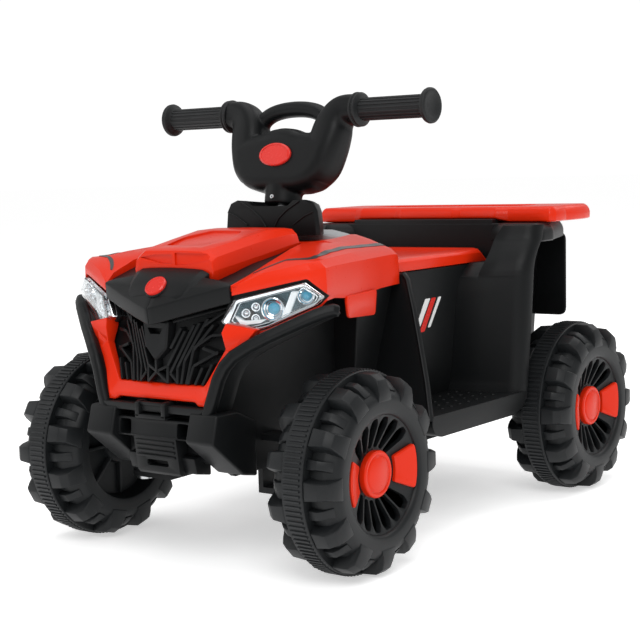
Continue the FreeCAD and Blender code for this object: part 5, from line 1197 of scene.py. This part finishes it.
def tubSide(plan):
    outline = rounded(plan["shield"], 4, 3)
    shield = [[(x, shieldY(z) + depth, z) for x, z in outline] for depth in (0, plan["shieldWall"])]
    bead = [(x - 1, shieldY(z) + 2, z) for x, z in plan["shield"][1:-1]]
    ledge = plan["ledge"] + [(x, y, z - plan["ledgeThick"]) for x, y, z in plan["ledge"]]
    outline = rounded(plan["deck"], 7, 4)
    deck = [[(x, y, z) for x, y in inwards(outline, inset)] for inset, z in plan["deckLayers"]]
    parts = [soften(slab("skirt", "x", rounded(plan["skirt"], 3, 3), *plan["skirtX"]), 6, 5, 40),
             soften(loft("shield", shield), 1.6, 3, 40),
             sweep("shieldBead", bead, circle(*plan["shieldBead"], 14), (0, -1, 0)),
             soften(panelLoft(plan), 1.0, 2, 40),
             soften(newPiece("ledge", ledge, plan["ledgeFaces"]), 1.2, 2, 30),
             loft("deck", deck), treadPiece(plan["tread"])]
    return mirrorX(join("tubSide", parts))


def tubPiece(plan):
    (y0, y1), wall = plan["coreY"], plan["wall"]
    (xa, za), (xb, zb) = plan["core"]
    core = slab("core", "y", bothSides(plan["core"]), y0, y1)
    hollow = bothSides([(xa - wall, za - plan["coreOpen"]), (xb - wall, zb - wall)])
    core = cut(core, slab("coreInner", "y", hollow, y0 + wall, y1 - wall))
    hole = slab("seatHole", "z", rounded(plan["hole"], 10, 4), *plan["holeZ"])
    parts = [soften(cut(core, hole), 2.2, 3, 40), tubSide(plan)]
    for key, radius, segments in (("rest", 1.6, 3), ("restTop", 1.2, 2), ("shelf", 2.4, 3)):
        parts.append(soften(slab(key, "z", plan[key], *plan[key + "Z"]), radius, segments))
    parts.append(soften(slab("rear", "y", rounded(plan["rear"], 10, 5), *plan["rearY"]), 1.2, 2, 50))
    return join("tub", parts)


dress(tubPiece(tubPlan), "blackSatin", "chassis", ["body_tub"], 30)

flankPlan = {  # (y, z) of slanted stripes on the side of the tub
    "white": [[(4, 206), (12, 206), (34, 243), (24, 243)], [(32, 210), (37, 210), (57, 243), (51, 243)]],
    "red": [[(15, 206), (25, 206), (46, 243), (37, 243)]],
    "lift": (-0.4, 0.5),
}


def coreX(z):
    return onLine(z, *[(height, x) for x, height in tubPlan["core"]])


for key, finish, slotName in (("white", "stripeWhite", "grey_panel"), ("red", "badgeRed", "badge_red")):
    parts = []
    for spots in flankPlan[key]:
        outline = rounded(spots, 1.5, 3)
        parts.append(loft("stripe", [[(coreX(z) + lift, y, z) for y, z in outline]
                                     for lift in flankPlan["lift"]]))
    dress(mirrorX(join(key + "Stripes", parts)), finish, "chassis")

seatPlan = {
    "outline": [(-101, -40), (101, -40), (101, 138), (87, 160), (-87, 160), (-101, 138)], "corner": 5,
    "foot": [(-101, -40), (101, -40), (101, 155), (98, 160), (-98, 160), (-101, 155)],
    "layers": [  # inset, z, share of the upper outline
        (4, 276.4, 0), (0.4, 277.4, 0.05), (0, 287.4, 0.85), (1.8, 290.6, 1), (7, 292, 1)],
    "dish": [(-80, -18), (80, -18), (80, 122), (68, 138), (-68, 138), (-80, 122)],
    "dishMiddle": 60, "dishLayers": [(0.88, 289.4), (1.0, 292.3), (1.02, 296)],
}


def dishPiece(name, plan, radius, steps):
    outline, middle = rounded(plan["dish"], radius, steps), plan["dishMiddle"]
    return loft(name, [[(x * s, middle + (y - middle) * s, z) for x, y in outline]
                       for s, z in plan["dishLayers"]])


def seatPiece(plan):
    outline = rounded(plan["outline"], plan["corner"], 4)
    foot = rounded(plan["foot"], plan["corner"], 4)
    rings = []
    for inset, z, share in plan["layers"]:
        mixed = [Vector(low).lerp(Vector(high), share) for low, high in zip(foot, outline)]
        rings.append([(x, y, z) for x, y in inwards(mixed, inset)])
    return soften(cut(loft("seatBody", rings), dishPiece("seatDish", plan, 14, 5)), 1.2, 3, 22)


dress(seatPiece(seatPlan), "redGloss", "seat", ["seat"], 26)

trimPlan = {
    "half": [(0, 180.5), (38, 179), (47, 182.6), (90, 180.4), (98, 178.6), (112, 186.4), (150, 186),
             (166, 188.4), (171.6, 194), (173, 212), (171, 221), (172.6, 230), (173.6, 262), (170.6, 284),
             (162, 289.6), (96, 290), (0, 290)],
    "layers": [(4, 320.4), (0.4, 321.6), (0, 329), (1, 332.8), (3, 336.4), (6.4, 338.8)],
    "raise": 4, "raiseHalf": 104, "raiseDepth": 200,  # the lower edge is lifted along the front
    "dish": [(-112, 212), (112, 212), (120, 226), (110, 268), (-110, 268), (-120, 226)],
    "dishMiddle": 240, "dishLayers": [(0.93, 335.4), (1.0, 339.2), (1.02, 345)],
}


def mitred(outline, distance):
    spots = [Vector(spot) for spot in outline]
    result = []
    for n, here in enumerate(spots):
        before = (here - spots[n - 1]).normalized()
        after = (spots[(n + 1) % len(spots)] - here).normalized()
        run = before + after
        result.append(tuple(here + Vector((-run.y, run.x)) * distance / (1 + before.dot(after))))
    return result


def trimPiece(plan):
    outline = bothSides(plan["half"])
    rings = []
    for n, (inset, z) in enumerate(plan["layers"]):
        ring = []
        for (x, y), (edgeX, edgeY) in zip(mitred(outline, inset), outline):
            front = abs(edgeX) < plan["raiseHalf"] and edgeY < plan["raiseDepth"]
            ring.append((x, y, z + (plan["raise"] if front and n < 2 else 0)))
        rings.append(ring)
    return soften(cut(loft("trimBody", rings), dishPiece("trimDish", plan, 8, 4)), 1.2, 3, 20)


dress(trimPiece(trimPlan), "redGloss", "chassis", ["rear_trim"], 26)
print("stage: body ready")

slotOf = {part["node"]: part["material_slot"] for part in frame["record"]["subparts"]}
for node, things in frame["nodes"].items():
    for thing in (things if isinstance(things, (list, tuple)) else [things]):
        if isinstance(thing, bpy.types.Object):
            thing.data.materials.clear()
            thing.data.materials.append(finishes[slotFinish.get(slotOf.get(node), "blackSatin")])
print("stage: carried nodes dressed")

cameraPlan = {"yaw": 37.02, "pitch": 5.91, "roll": -1.79, "at": (996.2, -1363.65, 393.8), "lens": 83.62,
              "sensor": 36, "near": 0.01}
studioPlan = {  # in metres: where each lamp stands, its size and its power
    "lamps": {"keyLamp": ((1.5, -2.0, 2.2), 1.6, 40), "fillLamp": ((-2.2, -1.6, 1.6), 2.0, 13),
              "rimLamp": ((0.8, 2.2, 2.2), 1.6, 16), "topLamp": ((0, 0, 2.8), 2.2, 26)},
    "target": (0, 0, 0.2), "floorReach": 30, "floorTones": (0.88, 0.92), "floorGlow": 0.5,
    "onObject": 0.55, "behind": 1.05,
}
white = (1, 1, 1, 1)


def cameraSetup(plan):
    yaw, pitch, roll = [math.radians(plan[key]) for key in ("yaw", "pitch", "roll")]
    back = Vector((math.sin(yaw) * math.cos(pitch), -math.cos(yaw) * math.cos(pitch), math.sin(pitch)))
    level = Vector((math.cos(yaw), math.sin(yaw), 0))
    rise = back.cross(level)
    right = level * math.cos(roll) + rise * math.sin(roll)
    up = rise * math.cos(roll) - level * math.sin(roll)
    lens = bpy.data.cameras.new("mainCamera")
    lens.lens = plan["lens"]
    lens.sensor_width = plan["sensor"]
    lens.clip_start = plan["near"]
    camera = addObject("mainCamera", lens)
    place = Matrix((right, up, back)).transposed().to_4x4()
    place.translation = Vector(plan["at"]) * unit
    camera.matrix_world = place
    bpy.context.scene.camera = camera


def floorPiece(plan):
    reach = plan["floorReach"]
    mesh = bpy.data.meshes.new("floor")
    mesh.from_pydata([(-reach, -reach, 0), (reach, -reach, 0), (reach, reach, 0), (-reach, reach, 0)], [],
                     [(0, 1, 2, 3)])
    pale = bpy.data.materials.new("paleFloor")
    pale.use_nodes = True
    tree = pale.node_tree
    shader = tree.nodes["Principled BSDF"]
    coords = addNode(tree, "ShaderNodeTexCoord")
    cloud = addNode(tree, "ShaderNodeTexNoise", {"Scale": 3})
    low, high = plan["floorTones"]
    tint = addNode(tree, "ShaderNodeMapRange", {"To Min": low, "To Max": high})
    wire(tree, [(coords, "Object", cloud, "Vector"), (cloud, "Fac", tint, "Value"),
                (tint, "Result", shader, "Base Color")])
    setInputs(shader, {"Roughness": 0.8, "Specular IOR Level": 0, "Emission Color": white,
                       "Emission Strength": plan["floorGlow"]})
    mesh.materials.append(pale)
    floor = addObject("floor", mesh)


def studio(plan):
    for name, (spot, size, power) in plan["lamps"].items():
        light = bpy.data.lights.new(name, "AREA")
        light.size = size
        light.energy = power
        lamp = addObject(name, light)
        lamp.location = spot
        lamp.rotation_euler = (Vector(plan["target"]) - Vector(spot)).to_track_quat("-Z", "Y").to_euler()
    world = bpy.data.worlds.new("studioWorld")
    world.use_nodes = True
    tree = world.node_tree
    sky = tree.nodes["Background"]
    setInputs(sky, {"Color": white})
    rays = addNode(tree, "ShaderNodeLightPath")
    level = addNode(tree, "ShaderNodeMapRange", {"To Min": plan["onObject"], "To Max": plan["behind"]})
    wire(tree, [(rays, "Is Camera Ray", level, "Value"), (level, "Result", sky, "Strength")])
    bpy.context.scene.world = world
    bpy.context.scene.view_settings.view_transform = "Standard"


cameraSetup(cameraPlan)
floorPiece(studioPlan)
studio(studioPlan)
print("stage: studio ready")
